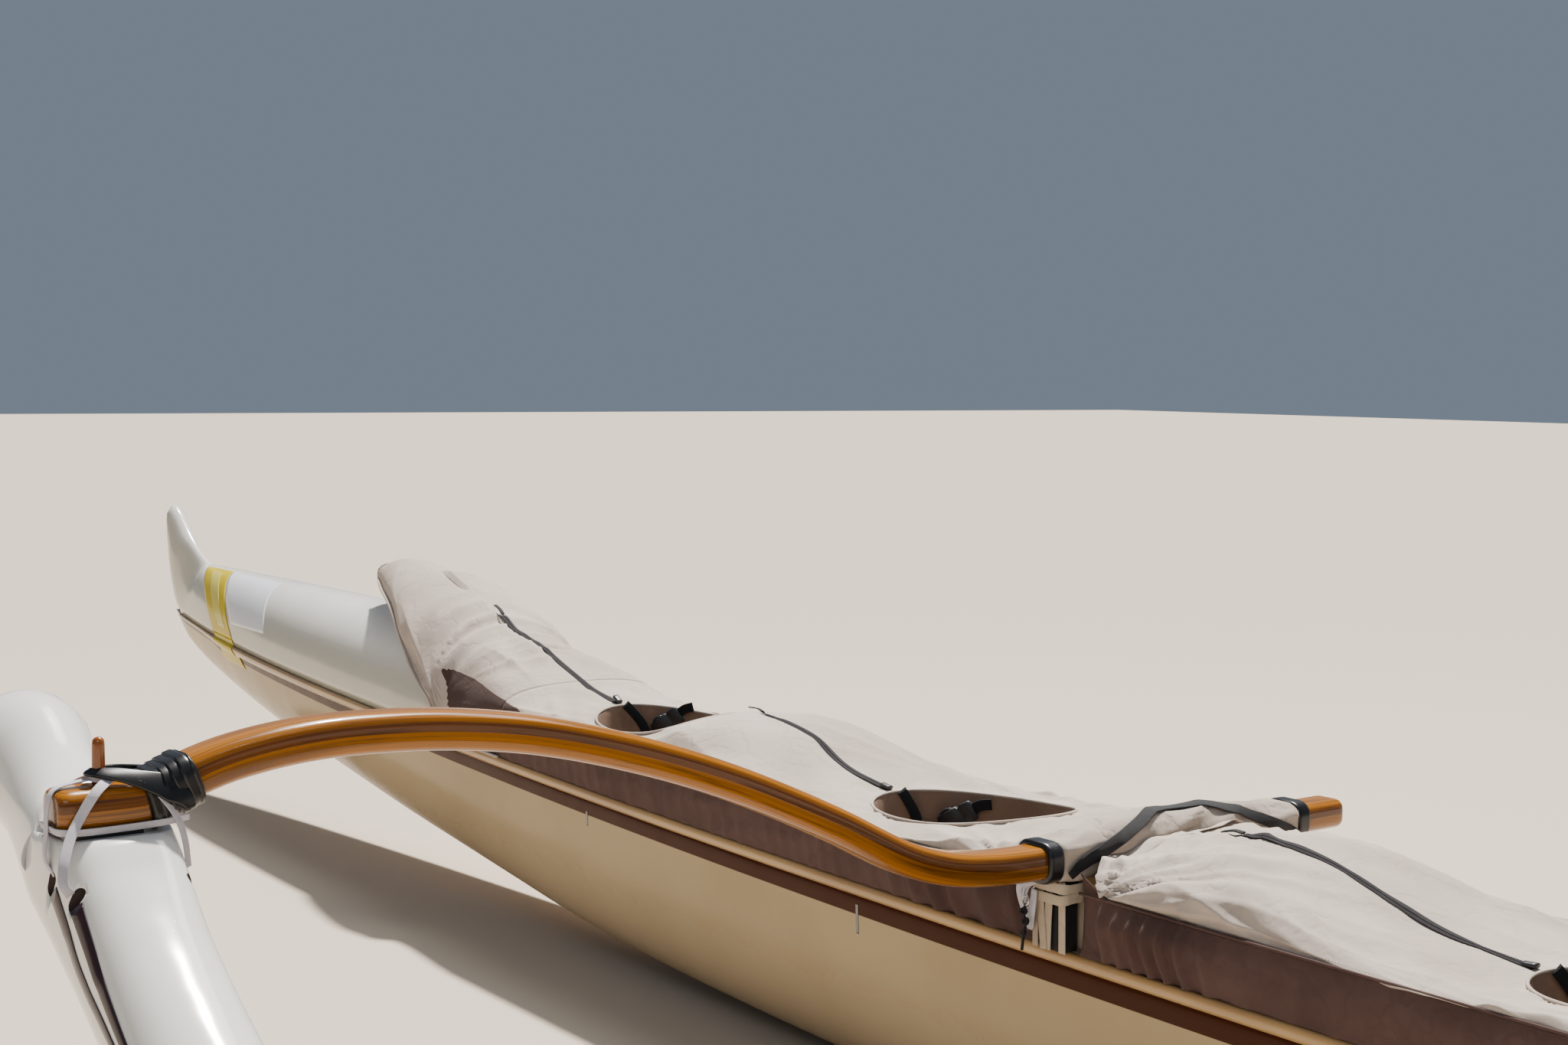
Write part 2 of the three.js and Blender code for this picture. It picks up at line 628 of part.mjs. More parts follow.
// Columns: name, aft end, forward end
const COVERS = [
  ['front', IAKO_SPACING / 2 + COVER_GAP, HOOD_START - SEAT_GAP],
  ['middle', -IAKO_SPACING / 2 + COVER_GAP, IAKO_SPACING / 2 - COVER_GAP],
  ['rear', -HOOD_START + SEAT_GAP, -IAKO_SPACING / 2 - COVER_GAP],
];
for (const [name, from, to] of COVERS) {
  add(`cover_top_${name}`, coverTop(from, to), 'canvas');
  for (const [hand, side] of SIDES) {
    add(`cover_skirt_${name}_${hand}`, skirt(from, to, side), 'skirt');
  }
}
add('splash_hood', coverEnd(HOOD_LINES, 1), 'canvas');
add('cover_apron', coverEnd(APRON_LINES, -1), 'canvas');
for (const [name, x] of SEATS) add(`${name}_collar`, collar(x), 'collar');

for (const [name, x] of IAKOS) {
  add(`iako_${name}`, iako(x), 'wood');
  const sleeve = wrapped(x, SLEEVE_STARBOARD, SLEEVE_PORT, COVER_THICK, 4);
  add(`iako_${name}_sleeve`, sleeve, 'canvas');
  const [inPort, inStarboard] = [SLEEVE_PORT + SEAT_GAP, SLEEVE_STARBOARD - SEAT_GAP];
  const port = wrapped(x, inPort, inPort + BAND_WIDTH, BAND_THICK, 1);
  add(`iako_${name}_band_port`, port, 'rubber');
  const starboard = wrapped(x, inStarboard - BAND_WIDTH, inStarboard, BAND_THICK, 1);
  add(`iako_${name}_band_starboard`, starboard, 'rubber');
  for (const [hand, side] of SIDES) {
    add(`iako_${name}_post_${hand}`, lashingPost(x, side), 'strap');
  }
  const bends = Math.ceil((WRAP_END - WRAP_START) / BEND_STEP);
  add(`iako_${name}_wrap`, wrapped(x, WRAP_START, WRAP_END, WRAP_THICK, bends), 'rubber');
  add(`iako_${name}_peg`, peg(x), 'wood');
  add(`float_pad_${name}`, footPad(x), 'rubber');
  add(`float_lashing_${name}`, lashing(x), 'webbing');
}
add('float', float(), 'hull').position.y = FLOAT_OFFSET;

export default canoe;
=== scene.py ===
# %% [markdown]
# # A six-seat outrigger canoe
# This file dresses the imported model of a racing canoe: a long slim hull, a fabric spray cover
# with six seat holes, two curved wooden cross booms and a float lashed on to port.
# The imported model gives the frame. Every piece below is made in that same frame, in metres:
# +X points to the bow, +Y to port, where the float lies, and +Z up.

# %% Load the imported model
import math

import bmesh
import bpy
import numpy as np
from mathutils import Matrix, Vector
from mathutils.bvhtree import BVHTree


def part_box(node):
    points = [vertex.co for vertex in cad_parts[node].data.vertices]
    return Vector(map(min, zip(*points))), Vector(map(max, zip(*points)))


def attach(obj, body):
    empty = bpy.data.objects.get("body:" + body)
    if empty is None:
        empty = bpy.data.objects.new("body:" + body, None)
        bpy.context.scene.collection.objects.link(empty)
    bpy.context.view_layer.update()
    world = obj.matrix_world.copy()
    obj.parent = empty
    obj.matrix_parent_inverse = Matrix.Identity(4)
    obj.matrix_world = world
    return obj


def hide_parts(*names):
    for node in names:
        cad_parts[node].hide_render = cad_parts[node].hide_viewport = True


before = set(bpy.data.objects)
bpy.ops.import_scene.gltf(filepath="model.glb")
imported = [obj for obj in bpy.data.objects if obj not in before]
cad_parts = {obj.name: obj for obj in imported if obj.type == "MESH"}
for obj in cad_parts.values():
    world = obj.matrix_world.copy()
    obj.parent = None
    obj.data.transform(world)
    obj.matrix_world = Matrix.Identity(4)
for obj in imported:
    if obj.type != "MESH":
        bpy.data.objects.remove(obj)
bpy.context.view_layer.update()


def middle_y(node):
    low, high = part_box(node)
    return (low.y + high.y) / 2


HULL_Y = middle_y("hull")  # the hull's centreline
FLOAT_Y = middle_y("float")  # the float's centreline
IAKO_X = [sum(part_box(n), Vector()).x / 2 for n in ("iako_front", "iako_rear")]
print(f"hull at y {HULL_Y:.3f}, float at y {FLOAT_Y:.3f}, booms at x {IAKO_X[0]:.3f} and {IAKO_X[1]:.3f}")

# %% [markdown]
# ## Camera
# The viewer stands beside the float's nose, at head height, and looks across the booms to the bow.
# The turn is three plain angles: round the compass, down, and how far it leans.

# %% Camera
CAMERA_PLACE = (-1.151, 2.16, 1.507)
CAMERA_YAW = -36.702  # degrees from +X towards +Y
CAMERA_DOWN = 4.079
CAMERA_LEAN = .632
LENS = 49.63  # mm
SENSOR_WIDTH = 36  # mm
FAR_CLIP = 300


def link(obj):
    """Puts an object into the scene."""
    bpy.context.scene.collection.objects.link(obj)
    return obj


camera = link(bpy.data.objects.new("camera", bpy.data.cameras.new("camera")))
bpy.context.scene.camera = camera
camera.data.lens = LENS
camera.data.sensor_width = SENSOR_WIDTH
camera.data.sensor_fit = "HORIZONTAL"
camera.data.clip_end = FAR_CLIP
turn = (
    Matrix.Rotation(math.radians(CAMERA_YAW - 90), 3, "Z")
    @ Matrix.Rotation(math.radians(90 - CAMERA_DOWN), 3, "X")
    @ Matrix.Rotation(math.radians(CAMERA_LEAN), 3, "Z")
)
camera.rotation_euler = turn.to_euler()
camera.location = CAMERA_PLACE
print("camera looks along", [round(v, 3) for v in turn @ Vector((0, 0, -1))])

# %% [markdown]
# ## Floor and light
# A pale floor bounces a little warm colour into the hull's side. A high sun, a little to starboard,
# makes the tops bright and leaves the near side in open shade. The world fills the rest, and two
# large windows give the varnish and the gelcoat something to reflect.

# %% Floor and light
FLOOR_HALF = 60
FLOOR_COLOUR = (.56, .48, .39, 1)
FLOOR_ROUGH = .9

corners = [(-1, -1), (1, -1), (1, 1), (-1, 1)]
floor_mesh = bpy.data.meshes.new("floor")
floor_mesh.from_pydata([(FLOOR_HALF * x, FLOOR_HALF * y, 0) for x, y in corners], [], [(0, 1, 2, 3)])
floor = link(bpy.data.objects.new("floor", floor_mesh))
floor_paint = bpy.data.materials.new("floor_paint")
floor_paint.use_nodes = True
floor_shader = floor_paint.node_tree.nodes["Principled BSDF"]
floor_shader.inputs["Base Color"].default_value = FLOOR_COLOUR
floor_shader.inputs["Roughness"].default_value = FLOOR_ROUGH
floor_mesh.materials.append(floor_paint)


def area_light(name, place, aim, size, power, colour):
    data = bpy.data.lights.new(name, "AREA")
    data.shape = "RECTANGLE"
    data.size, data.size_y = size
    data.energy = power
    data.color = colour
    light = link(bpy.data.objects.new(name, data))
    light.location = place
    light.rotation_euler = (Vector(aim) - Vector(place)).to_track_quat("-Z", "Y").to_euler()


# Columns: name, place, aim, size, watts, colour
LIGHTS = [
    ("crown_window", (3.5, -3.0, 6.5), (2.0, -.6, .6), (6, 1.6), 240, (1.0, .98, .95)),
    ("sky_window", (-4.5, 4.5, 6.0), (0.0, .5, .5), (5, 2), 90, (.9, .95, 1.0)),
]
for light in LIGHTS:
    area_light(*light)

SUN_FROM = (.3, -.42, 1.0)  # direction that the sunlight comes from
SUN_COLOUR, SUN_STRENGTH = (1.0, .96, .9), 9.5
SUN_ACROSS = 3  # degrees, which softens the edges of its shadows
SKY_COLOUR, SKY_STRENGTH = (.58, .72, .9, 1), .3

sun = link(bpy.data.objects.new("sun", bpy.data.lights.new("sun", "SUN")))
sun.data.energy = SUN_STRENGTH
sun.data.angle = math.radians(SUN_ACROSS)
sun.data.color = SUN_COLOUR
sun.rotation_euler = Vector(SUN_FROM).to_track_quat("Z", "Y").to_euler()

world = bpy.data.worlds.new("world")
bpy.context.scene.world = world
world.use_nodes = True
sky = world.node_tree.nodes["Background"]
sky.inputs["Color"].default_value = SKY_COLOUR
sky.inputs["Strength"].default_value = SKY_STRENGTH
print("lights:", [light[0] for light in LIGHTS])

# %% [markdown]
# ## Lines of the canoe
# A boat is drawn by its lines: at each station along the hull, how deep the keel is, how wide the
# gunwale and how high the deck. Values between the stations follow a smooth curve, so the tables
# stay short, and every part that touches the hull asks for the same numbers.

# %% Tables of lines, in metres from midship and from the floor
STEM = 6.6
SHEER_MIDDLE = .455
SHEER_RISE = .135
SHEER_POWER = 2.6
WALL = .012
BOTTOM = .016
KEEL_FLAT = .026
COCKPIT_END = 4.15

# Columns: x, keel height, half beam at the gunwale, deck crown height (0 over the cockpit)
HULL_LINES = [
    (0, 0, .265, 0), (.7, 0, .265, 0), (1.5, 0, .264, 0), (2.1, .004, .262, 0), (2.7, .014, .257, 0),
    (3.2, .034, .249, 0), (3.6, .064, .24, 0), (3.95, .102, .232, 0), (4.15, .124, .227, .745),
    (4.55, .168, .214, .77), (4.85, .206, .203, .775), (5.2, .252, .185, .778), (5.6, .308, .158, .779),
    (6.0, .38, .118, .779), (6.3, .448, .077, .778), (6.5, .516, .045, 0), (6.6, .575, .024, 0),
]
# Columns: foot x, foot height, top x, top height, half width at the foot, added half width midway
HORN_LINES = [
    (6.5, 0, 6.345, .785, .045, .008), (6.6, 0, 6.44, .822, .024, .022),
    (6.64, .68, 6.515, .868, .022, .026), (6.668, .78, 6.575, .912, .02, .022),
    (6.69, .87, 6.62, .948, .018, .017), (6.7, .925, 6.652, .968, .014, .012),
    (6.698, .948, 6.668, .976, .006, .006),
]
HORN_ROUND = (6.5, 6.64)  # between these the sections change from flat-footed to round


def slopes_of(xs, ys):
    inner = (ys[2:] - ys[:-2]) / (xs[2:] - xs[:-2])
    first = (ys[1] - ys[0]) / (xs[1] - xs[0])
    last = (ys[-1] - ys[-2]) / (xs[-1] - xs[-2])
    return np.concatenate([[first], inner, [last]])


def smooth(table, column, x):
    """Smooth value of a table's column at x, through every row."""
    rows = np.asarray(table, float)
    xs, ys = rows[:, 0], rows[:, column]
    slopes = slopes_of(xs, ys)
    x = np.clip(x, xs[0], xs[-1])
    i = np.clip(np.searchsorted(xs, x, side="right") - 1, 0, len(xs) - 2)
    step = xs[i + 1] - xs[i]
    t = (x - xs[i]) / step
    rise = ys[i + 1] - ys[i]
    a = slopes[i] * step - rise
    b = rise - slopes[i + 1] * step
    return ys[i] + t * rise + t * (1 - t) * (a * (1 - t) + b * t)


def sheer(x):
    return SHEER_MIDDLE + SHEER_RISE * (np.abs(x) / STEM) ** SHEER_POWER


def beam(x):
    return smooth(HULL_LINES, 2, np.abs(x))


def keel(x):
    return smooth(HULL_LINES, 1, np.abs(x))


print("beam amidships", round(2 * float(beam(0)), 3), "sheer at the stem", round(float(sheer(STEM)), 3))

# %% [markdown]
# ## Meshes from rows of points
# Most pieces here are skins: rows of points, each row a section, joined by four-sided faces.
# One helper makes them all. It lays out a UV map in real metres, so that a grain or a weave follows
# the piece round its bends, and can store extra numbers on the points for a material to read.

# %% Mesh helpers
SIDES = (("port", 1), ("starboard", -1))
MERGE, SLIVER = 1e-5, 1e-6  # points nearer than this are one, and thinner faces are dropped

def lengths_along(points):
    steps = np.linalg.norm(np.diff(points, axis=0), axis=1)
    return np.concatenate([[0], np.cumsum(steps)])


def skin(name, rows, ring=False, caps=False, closed=True, flip=False, values=None):
    """A mesh through rows of points. ring joins each row's ends, caps closes the first and last row.
    values are named numbers, one per point, kept as attributes."""
    rows = np.asarray(rows, float)
    count, across = rows.shape[:2]
    points = [tuple(p) for p in rows.reshape(-1, 3)]
    columns = across if ring else across - 1
    faces = []
    for i in range(count - 1):
        for j in range(columns):
            k = (j + 1) % across
            quad = (i * across + j, i * across + k, (i + 1) * across + k, (i + 1) * across + j)
            faces.append(quad[::-1] if flip else quad)
    if caps:
        for row in (0, count - 1):
            points.append(tuple(rows[row].mean(axis=0)))
            for j in range(columns):
                k = (j + 1) % across
                faces.append((len(points) - 1, row * across + j, row * across + k))
    mesh = bpy.data.meshes.new(name)
    mesh.from_pydata(points, [], faces)
    u = lengths_along(rows.mean(axis=1))
    v = lengths_along(np.vstack([rows[count // 2], rows[count // 2][:1]]))
    add_uv(mesh, u, v, across, count)
    for key, numbers in (values or {}).items():
        attribute = mesh.attributes.new(key, "FLOAT", "POINT")
        flat = np.asarray(numbers, float).ravel()
        flat = np.concatenate([flat, np.zeros(len(points) - len(flat))])
        attribute.data.foreach_set("value", flat.astype(np.float32))
    return finish_mesh(name, mesh, closed)


def add_uv(mesh, u, v, across, count):
    layer = mesh.uv_layers.new(name="UVMap")
    loops = np.zeros(len(mesh.loops), np.int32)
    mesh.loops.foreach_get("vertex_index", loops)
    at = np.zeros((len(mesh.loops), 2), np.float32)
    for polygon in mesh.polygons:
        span = range(polygon.loop_start, polygon.loop_start + polygon.loop_total)
        js = [loops[s] % across if loops[s] < across * count else 0 for s in span]
        wraps = max(js) == across - 1 and min(js) == 0 and across > 2 and len(js) == 4
        for s, j in zip(span, js):
            if loops[s] >= across * count:
                continue
            at[s] = (u[loops[s] // across], v[across] if wraps and j == 0 else v[j])
    layer.data.foreach_set("uv", at.ravel())


def finish_mesh(name, mesh, closed):
    """Merges doubled points, turns a closed mesh's faces outwards and smooths the shading."""
    work = bmesh.new()
    work.from_mesh(mesh)
    bmesh.ops.remove_doubles(work, verts=work.verts, dist=MERGE)
    bmesh.ops.dissolve_degenerate(work, edges=work.edges, dist=SLIVER)
    if closed:
        bmesh.ops.recalc_face_normals(work, faces=work.faces)
    for face in work.faces:
        face.smooth = True
    work.to_mesh(mesh)
    work.free()
    return link(bpy.data.objects.new(name, mesh))


def turn_to(obj, way):
    """Turns an open sheet over if its faces look away from the given way."""
    work = bmesh.new()
    work.from_mesh(obj.data)
    if sum((f.normal * f.calc_area() for f in work.faces), Vector()).dot(Vector(way)) < 0:
        bmesh.ops.reverse_faces(work, faces=work.faces)
    work.to_mesh(obj.data)
    work.free()


def apply_modifiers(obj):
    graph = bpy.context.evaluated_depsgraph_get()
    mesh = bpy.data.meshes.new_from_object(obj.evaluated_get(graph))
    obj.modifiers.clear()
    obj.data = mesh


def thicken(obj, thick, offset=-1.0):
    solid = obj.modifiers.new("thickness", "SOLIDIFY")
    solid.thickness = thick
    solid.offset = offset
    apply_modifiers(obj)


def paint(obj, material):
    obj.data.materials.clear()
    obj.data.materials.append(material)
    return obj


def dress(obj, material, slot, *nodes):
    """Gives a piece its material, puts it on the one body, and hides what it stands for. slot is not used."""
    paint(obj, material)
    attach(obj, "root")
    if nodes:
        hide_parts(*nodes)
    return obj


def ring_angles(count):
    return np.linspace(0, 2 * math.pi, count, endpoint=False)


def bounded(share):
    """A share kept between 0 and 1."""
    return min(max(share, 0), 1)


def joined(name, objects):
    """Several meshes as one object, with their materials kept."""
    bpy.ops.object.select_all(action="DESELECT")
    for obj in objects:
        obj.select_set(True)
    bpy.context.view_layer.objects.active = objects[0]
    if len(objects) > 1:
        bpy.ops.object.join()
    objects[0].name = name
    objects[0].data.name = name
    return objects[0]


print("mesh helpers ready for", [hand for hand, _ in SIDES])

# %% [markdown]
# ## Shader effects that several materials share
# Salt, sun and handling leave the same marks on gelcoat, wood and webbing. Each effect is a node
# group, built once. It only puts out colours, masks and heights; the shader stays in the material.

# %% Node helpers
NUMBER, COLOUR = "NodeSocketFloat", "NodeSocketColor"
MIX_SHARE, MIX_FIRST, MIX_SECOND, MIX_RESULT = 0, 6, 7, 2  # the sockets of a colour mix


def new_group(name, inputs, outputs):
    """An empty group, what it is given and what it puts out."""
    tree = bpy.data.node_groups.new(name, "ShaderNodeTree")
    for label, kind, value in inputs:
        tree.interface.new_socket(name=label, in_out="INPUT", socket_type=kind).default_value = value
    for label, kind in outputs:
        tree.interface.new_socket(name=label, in_out="OUTPUT", socket_type=kind)
    return tree, tree.nodes.new("NodeGroupInput").outputs, tree.nodes.new("NodeGroupOutput").inputs


def node(tree, kind, **settings):
    made = tree.nodes.new(kind)
    for key, value in settings.items():
        setattr(made, key, value)
    return made


def give(socket, value):
    """Sets a socket to a plain value, or links another node's output to it. A socket knows its own tree."""
    if isinstance(value, (int, float, tuple)):
        socket.default_value = value
    else:
        socket.id_data.links.new(value, socket)


def feed(target, **values):
    """Feeds a node. values are named as its inputs are, with _ for a space."""
    for key, value in values.items():
        give(target.inputs[key.replace("_", " ")], value)
    return target


def maths(operation, first, second=None, clamp=False):
    """A maths node; first and second are sockets or numbers."""
    tree = (second if isinstance(first, float) else first).id_data
    made = node(tree, "ShaderNodeMath", operation=operation, use_clamp=clamp)
    give(made.inputs[0], first)
    if second is not None:
        give(made.inputs[1], second)
    return made.outputs[0]


def times(first, second, clamp=False):
    return maths("MULTIPLY", first, second, clamp)


def plus(first, second, clamp=False):
    return maths("ADD", first, second, clamp)


def inverse(mask):
    return maths("SUBTRACT", 1.0, mask)


def blend_colours(mask, first, second):
    """The first colour where the mask is 0 and the second where it is 1."""
    made = node(mask.id_data, "ShaderNodeMix", data_type="RGBA")
    for place, value in ((MIX_SHARE, mask), (MIX_FIRST, first), (MIX_SECOND, second)):
        give(made.inputs[place], value)
    return made.outputs[MIX_RESULT]


def ramp(value, low, high):
    """Turns a value into a mask that is 0 at low and 1 at high, with soft ends."""
    made = node(value.id_data, "ShaderNodeMapRange", interpolation_type="SMOOTHSTEP")
    for i, number in enumerate((value, low, high)):
        give(made.inputs[i], number)
    return made.outputs[0]


def noise(vector, scale, detail=3.0, rough=.55):
    made = node(vector.id_data, "ShaderNodeTexNoise")
    return feed(made, Vector=vector, Scale=scale, Detail=detail, Roughness=rough).outputs["Fac"]


def object_place(tree):
    return node(tree, "ShaderNodeTexCoord").outputs["Object"]


def mesh_uv(tree):
    return node(tree, "ShaderNodeUVMap", uv_map="UVMap").outputs[0]


def stored(tree, name):
    """A number that the mesh keeps on its points."""
    return node(tree, "ShaderNodeAttribute", attribute_name=name).outputs["Fac"]


def scaled(vector, factors):
    return feed(node(vector.id_data, "ShaderNodeMapping"), Vector=vector, Scale=factors).outputs[0]


def parts_of(vector):
    """The X, Y and Z of a vector."""
    return feed(node(vector.id_data, "ShaderNodeSeparateXYZ"), Vector=vector).outputs


print("sockets of a colour mix:", MIX_SHARE, MIX_FIRST, MIX_SECOND, MIX_RESULT)

# %% Group: mottling, the slow change of tone that no real surface is without
mottle, given, out = new_group(
    "mottling",
    [("Colour", COLOUR, (.5, .5, .5, 1)), ("Other colour", COLOUR, (.4, .4, .4, 1)),
     ("Scale", NUMBER, 2.0), ("Amount", NUMBER, 1.0)],
    [("Colour", COLOUR)],
)
patches = ramp(noise(object_place(mottle), given["Scale"], 5.0), .38, .66)
mask = times(patches, given["Amount"], clamp=True)
give(out["Colour"], blend_colours(mask, given["Colour"], given["Other colour"]))

# %% Group: weave, two sets of threads crossing
THREAD_SHARE = .5  # height of a crossing of threads; fuzz adds the rest
FUZZ_SCALE = 700.0

weave, given, out = new_group(
    "weave", [("Threads per metre", NUMBER, 900.0), ("Softness", NUMBER, .5)], [("Height", NUMBER)])
uv = mesh_uv(weave)
split = parts_of(uv)
turns = times(given["Threads per metre"], 2 * math.pi)
warp, weft = (maths("SINE", times(split[k], turns)) for k in (0, 1))
threads = times(times(warp, weft), THREAD_SHARE)
fuzz = times(noise(uv, FUZZ_SCALE, 2.0), given["Softness"])
give(out["Height"], plus(threads, fuzz))

# %% Group: wear, fine scratches and rubbed spots
SCRATCH_STRETCH = (.12, 1.0, 1.0)  # scratches run along the canoe
SCRATCH_FINER = 30.0  # how much finer scratches are than rubbed spots

wear, given, out = new_group(
    "wear", [("Scale", NUMBER, 8.0), ("Amount", NUMBER, .5)], [("Mask", NUMBER), ("Height", NUMBER)])
place = object_place(wear)
finer = times(given["Scale"], SCRATCH_FINER)
lines = noise(scaled(place, SCRATCH_STRETCH), finer, 2.0, .8)
spots = noise(place, given["Scale"], 4.0, .7)
scratched = times(ramp(lines, .62, .72), ramp(spots, .45, .7))
give(out["Mask"], times(scratched, given["Amount"], clamp=True))
give(out["Height"], maths("SUBTRACT", 0.0, scratched))

# %% Group: grime, dirt and salt that gather towards a low edge
CLOUD_REACH = .18  # metres that a cloud of dirt reaches up past its plain edge

grime, given, out = new_group(
    "grime",
    [("Clean above", NUMBER, .35), ("Dirty below", NUMBER, .05), ("Scale", NUMBER, 6.0)],
    [("Mask", NUMBER)],
)
place = object_place(grime)
cloud = noise(place, given["Scale"], 6.0, .65)
height = plus(parts_of(place)["Z"], times(cloud, -CLOUD_REACH))
give(out["Mask"], inverse(ramp(height, given["Dirty below"], given["Clean above"])))


# %% Material helpers
def use(tree, group, **values):
    """Places a group in a material. values feed its inputs."""
    return feed(node(tree, "ShaderNodeGroup", node_tree=group), **values).outputs


def new_material(name, **numbers):
    """A material with its plain numbers set on the shader's own sockets."""
    material = bpy.data.materials.new(name)
    material.use_nodes = True
    tree = material.node_tree
    return material, tree, feed(tree.nodes["Principled BSDF"], **numbers)


def bump(target, height, distance, strength=1.0):
    """Tilts the light on a shader, or on another bump, by a height."""
    made = feed(node(target.id_data, "ShaderNodeBump"), Distance=distance, Strength=strength, Height=height)
    feed(target, Normal=made.outputs[0])
    return made


def toned(shader, colour, shade, scale, amount=1.0):
    """Mottles a shader's colour, and gives the colour back."""
    tone = use(shader.id_data, mottle, Colour=colour, Other_colour=shade,
               Scale=scale, Amount=amount)["Colour"]
    feed(shader, Base_Color=tone)
    return tone


def rubbed(shader, scale, amount, rough, rougher):
    """Wears a shader, which gets rougher by so much where it is scratched, and gives the wear back."""
    marks = use(shader.id_data, wear, Scale=scale, Amount=amount)
    feed(shader, Roughness=plus(times(marks["Mask"], rougher), rough))
    return marks


print("shader groups:", sorted(g.name for g in bpy.data.node_groups))

# %% [markdown]
# ## Finishes
# Gelcoat is a coloured resin skin, glossy where it is clean. Its colour bands follow the gunwale, so the
# hull's mesh carries two numbers on its points: how far below the gunwale each lies and how wide the
# dark band is there. The material compares the two, which gives a crisp line with no image.

# %% Gelcoat finishes
CREAM = (.46, .35, .2, 1)
CREAM_SHADE = (.38, .28, .15, 1)
OFF_WHITE = (.8, .785, .74, 1)
OFF_WHITE_SHADE = (.7, .685, .635, 1)
# painted shade: the colour of the deck's steep sides, darker as if they were in shade
DECK_SIDE_SHADE = (.5, .48, .4, 1)
RED_BROWN = (.05, .013, .003, 1)
DUST = (.43, .34, .24, 1)
DUST_EDGES = {"Clean_above": .3, "Dirty_below": -.02, "Scale": 7.0}
GEL_SHINE = {"Roughness": .2, "Coat_Weight": .2, "Coat_Roughness": .04}
GEL_ROUGH, GEL_SCRATCHED, GEL_DUSTY = .16, .25, .5  # plain roughness, and what marks and dust add
GEL_RIPPLE = .0035  # depth of the slow waves in the resin
SCRATCH_DEPTH = .01  # depth of a scratch, as a share of such a wave
BAND_EDGE = .0015  # width over which the dark band ends
STEEP, LEVEL = .25, .6  # upward part of the normal on the deck's sides and on its crown


def gelcoat(name, colour, shade, dirt_and_crease_shade=0.0, border=None, **shine):
    """Glossy resin with slow mottling, fine scratches and dust low down. border is a second colour and
    what makes its mask, which is 0 where that colour shows."""
    material, tree, shader = new_material(name, **{**GEL_SHINE, **shine})
    dusty = times(use(tree, grime, **DUST_EDGES)["Mask"], dirt_and_crease_shade)
    base = blend_colours(dusty, toned(shader, colour, shade, 1.7, .6), DUST)
    scratches = use(tree, wear, Scale=5.0, Amount=.5)
    rough = plus(times(scratches["Mask"], GEL_SCRATCHED), GEL_ROUGH)
    rough = plus(rough, times(dusty, GEL_DUSTY))
    ripple = noise(object_place(tree), 5.0, 2.0)
    bump(shader, plus(ripple, times(scratches["Height"], SCRATCH_DEPTH)), GEL_RIPPLE)
    if border:
        base = blend_colours(border[1](tree), border[0], base)
    feed(shader, Base_Color=base, Roughness=rough)
    return material


def under_band(tree):
    past = maths("SUBTRACT", stored(tree, "below"), stored(tree, "band"))
    return ramp(past, 0.0, BAND_EDGE)


# Mask of the deck's painted shade: 0 on its steep sides, which take the darker colour, and 1 on the level
# crown.
def lit_crown_mask(tree):
    normal = node(tree, "ShaderNodeNewGeometry").outputs["Normal"]
    return ramp(parts_of(normal)["Z"], STEEP, LEVEL)


hull_paint = gelcoat("hull_paint", CREAM, CREAM_SHADE, .5, (RED_BROWN, under_band),
                     Specular_IOR_Level=.07, Coat_Weight=.02)
# The deck's sides get painted shade, darker where the normal leans over.
deck_paint = gelcoat("deck_paint", OFF_WHITE, OFF_WHITE_SHADE, 0.0, (DECK_SIDE_SHADE, lit_crown_mask))
float_paint = gelcoat("float_paint", OFF_WHITE, OFF_WHITE_SHADE, .35)
bench_paint = gelcoat("bench_paint", (.5, .44, .36, 1), (.4, .34, .27, 1))
print("gelcoat finishes: hull, deck, float, bench")

# %% [markdown]
# The gunwale moulding is a tan strip with a darker line along its lower edge. The boom
# is bent from thin laminations of wood glued one on another and varnished. Both read
# a number from the mesh, so that their lines stay parallel to the piece round every bend.

# %% Rail and wood finishes
TAN = (.44, .27, .105, 1)
TAN_SHADE = (.34, .2, .08, 1)
TAN_RUBBED = (.55, .42, .27, 1)
BROWN_LINE = (.024, .007, .003, 1)
AMBER = (.125, .036, .001, 1)
AMBER_LIGHT = (.33, .115, .003, 1)
WOOD_DARK = (.024, .007, .002, 1)
LAMINATION = .0065  # thickness of one lamination of the boom
GLUE = .08  # share of it that shows as the dark glue line
GRAIN = (1.6, 55.0, 1.0)  # how closely the grain lies along, across and through the wood
STREAKS = (.5, 9.0, 1.0)

rail_paint, tree, shader = new_material("rail_paint", Roughness=.3, Coat_Weight=.3, Coat_Roughness=.12)
tone = toned(shader, TAN, TAN_SHADE, 3.0, .8)
strip = inverse(ramp(stored(tree, "across"), .86, .9))
base = blend_colours(strip, BROWN_LINE, tone)
marks = rubbed(shader, 9.0, .6, .28, .3)
feed(shader, Base_Color=blend_colours(marks["Mask"], base, TAN_RUBBED))
bump(shader, marks["Height"], .0003)

varnished_wood, tree, shader = new_material(
    "varnished_wood", Roughness=.3, Coat_Weight=.5, Coat_Roughness=.07, Specular_IOR_Level=.2)
uv = mesh_uv(tree)
grain = noise(scaled(uv, GRAIN), 2.2, 7.0, .65)
streak = ramp(noise(scaled(uv, STREAKS), 3.0), .48, .7)
count = maths("DIVIDE", stored(tree, "layer"), LAMINATION)
piece = node(tree, "ShaderNodeTexWhiteNoise", noise_dimensions="1D")
feed(piece, W=maths("FLOOR", count))
tint = blend_colours(ramp(piece.outputs["Value"], .2, .9), AMBER, AMBER_LIGHT)
dark = times(ramp(grain, .5, .68), .55)
wood_tone = blend_colours(plus(dark, times(streak, .6), clamp=True), tint, WOOD_DARK)
glue = ramp(maths("FRACT", count), 0.0, GLUE)
feed(shader, Base_Color=blend_colours(inverse(glue), wood_tone, WOOD_DARK))
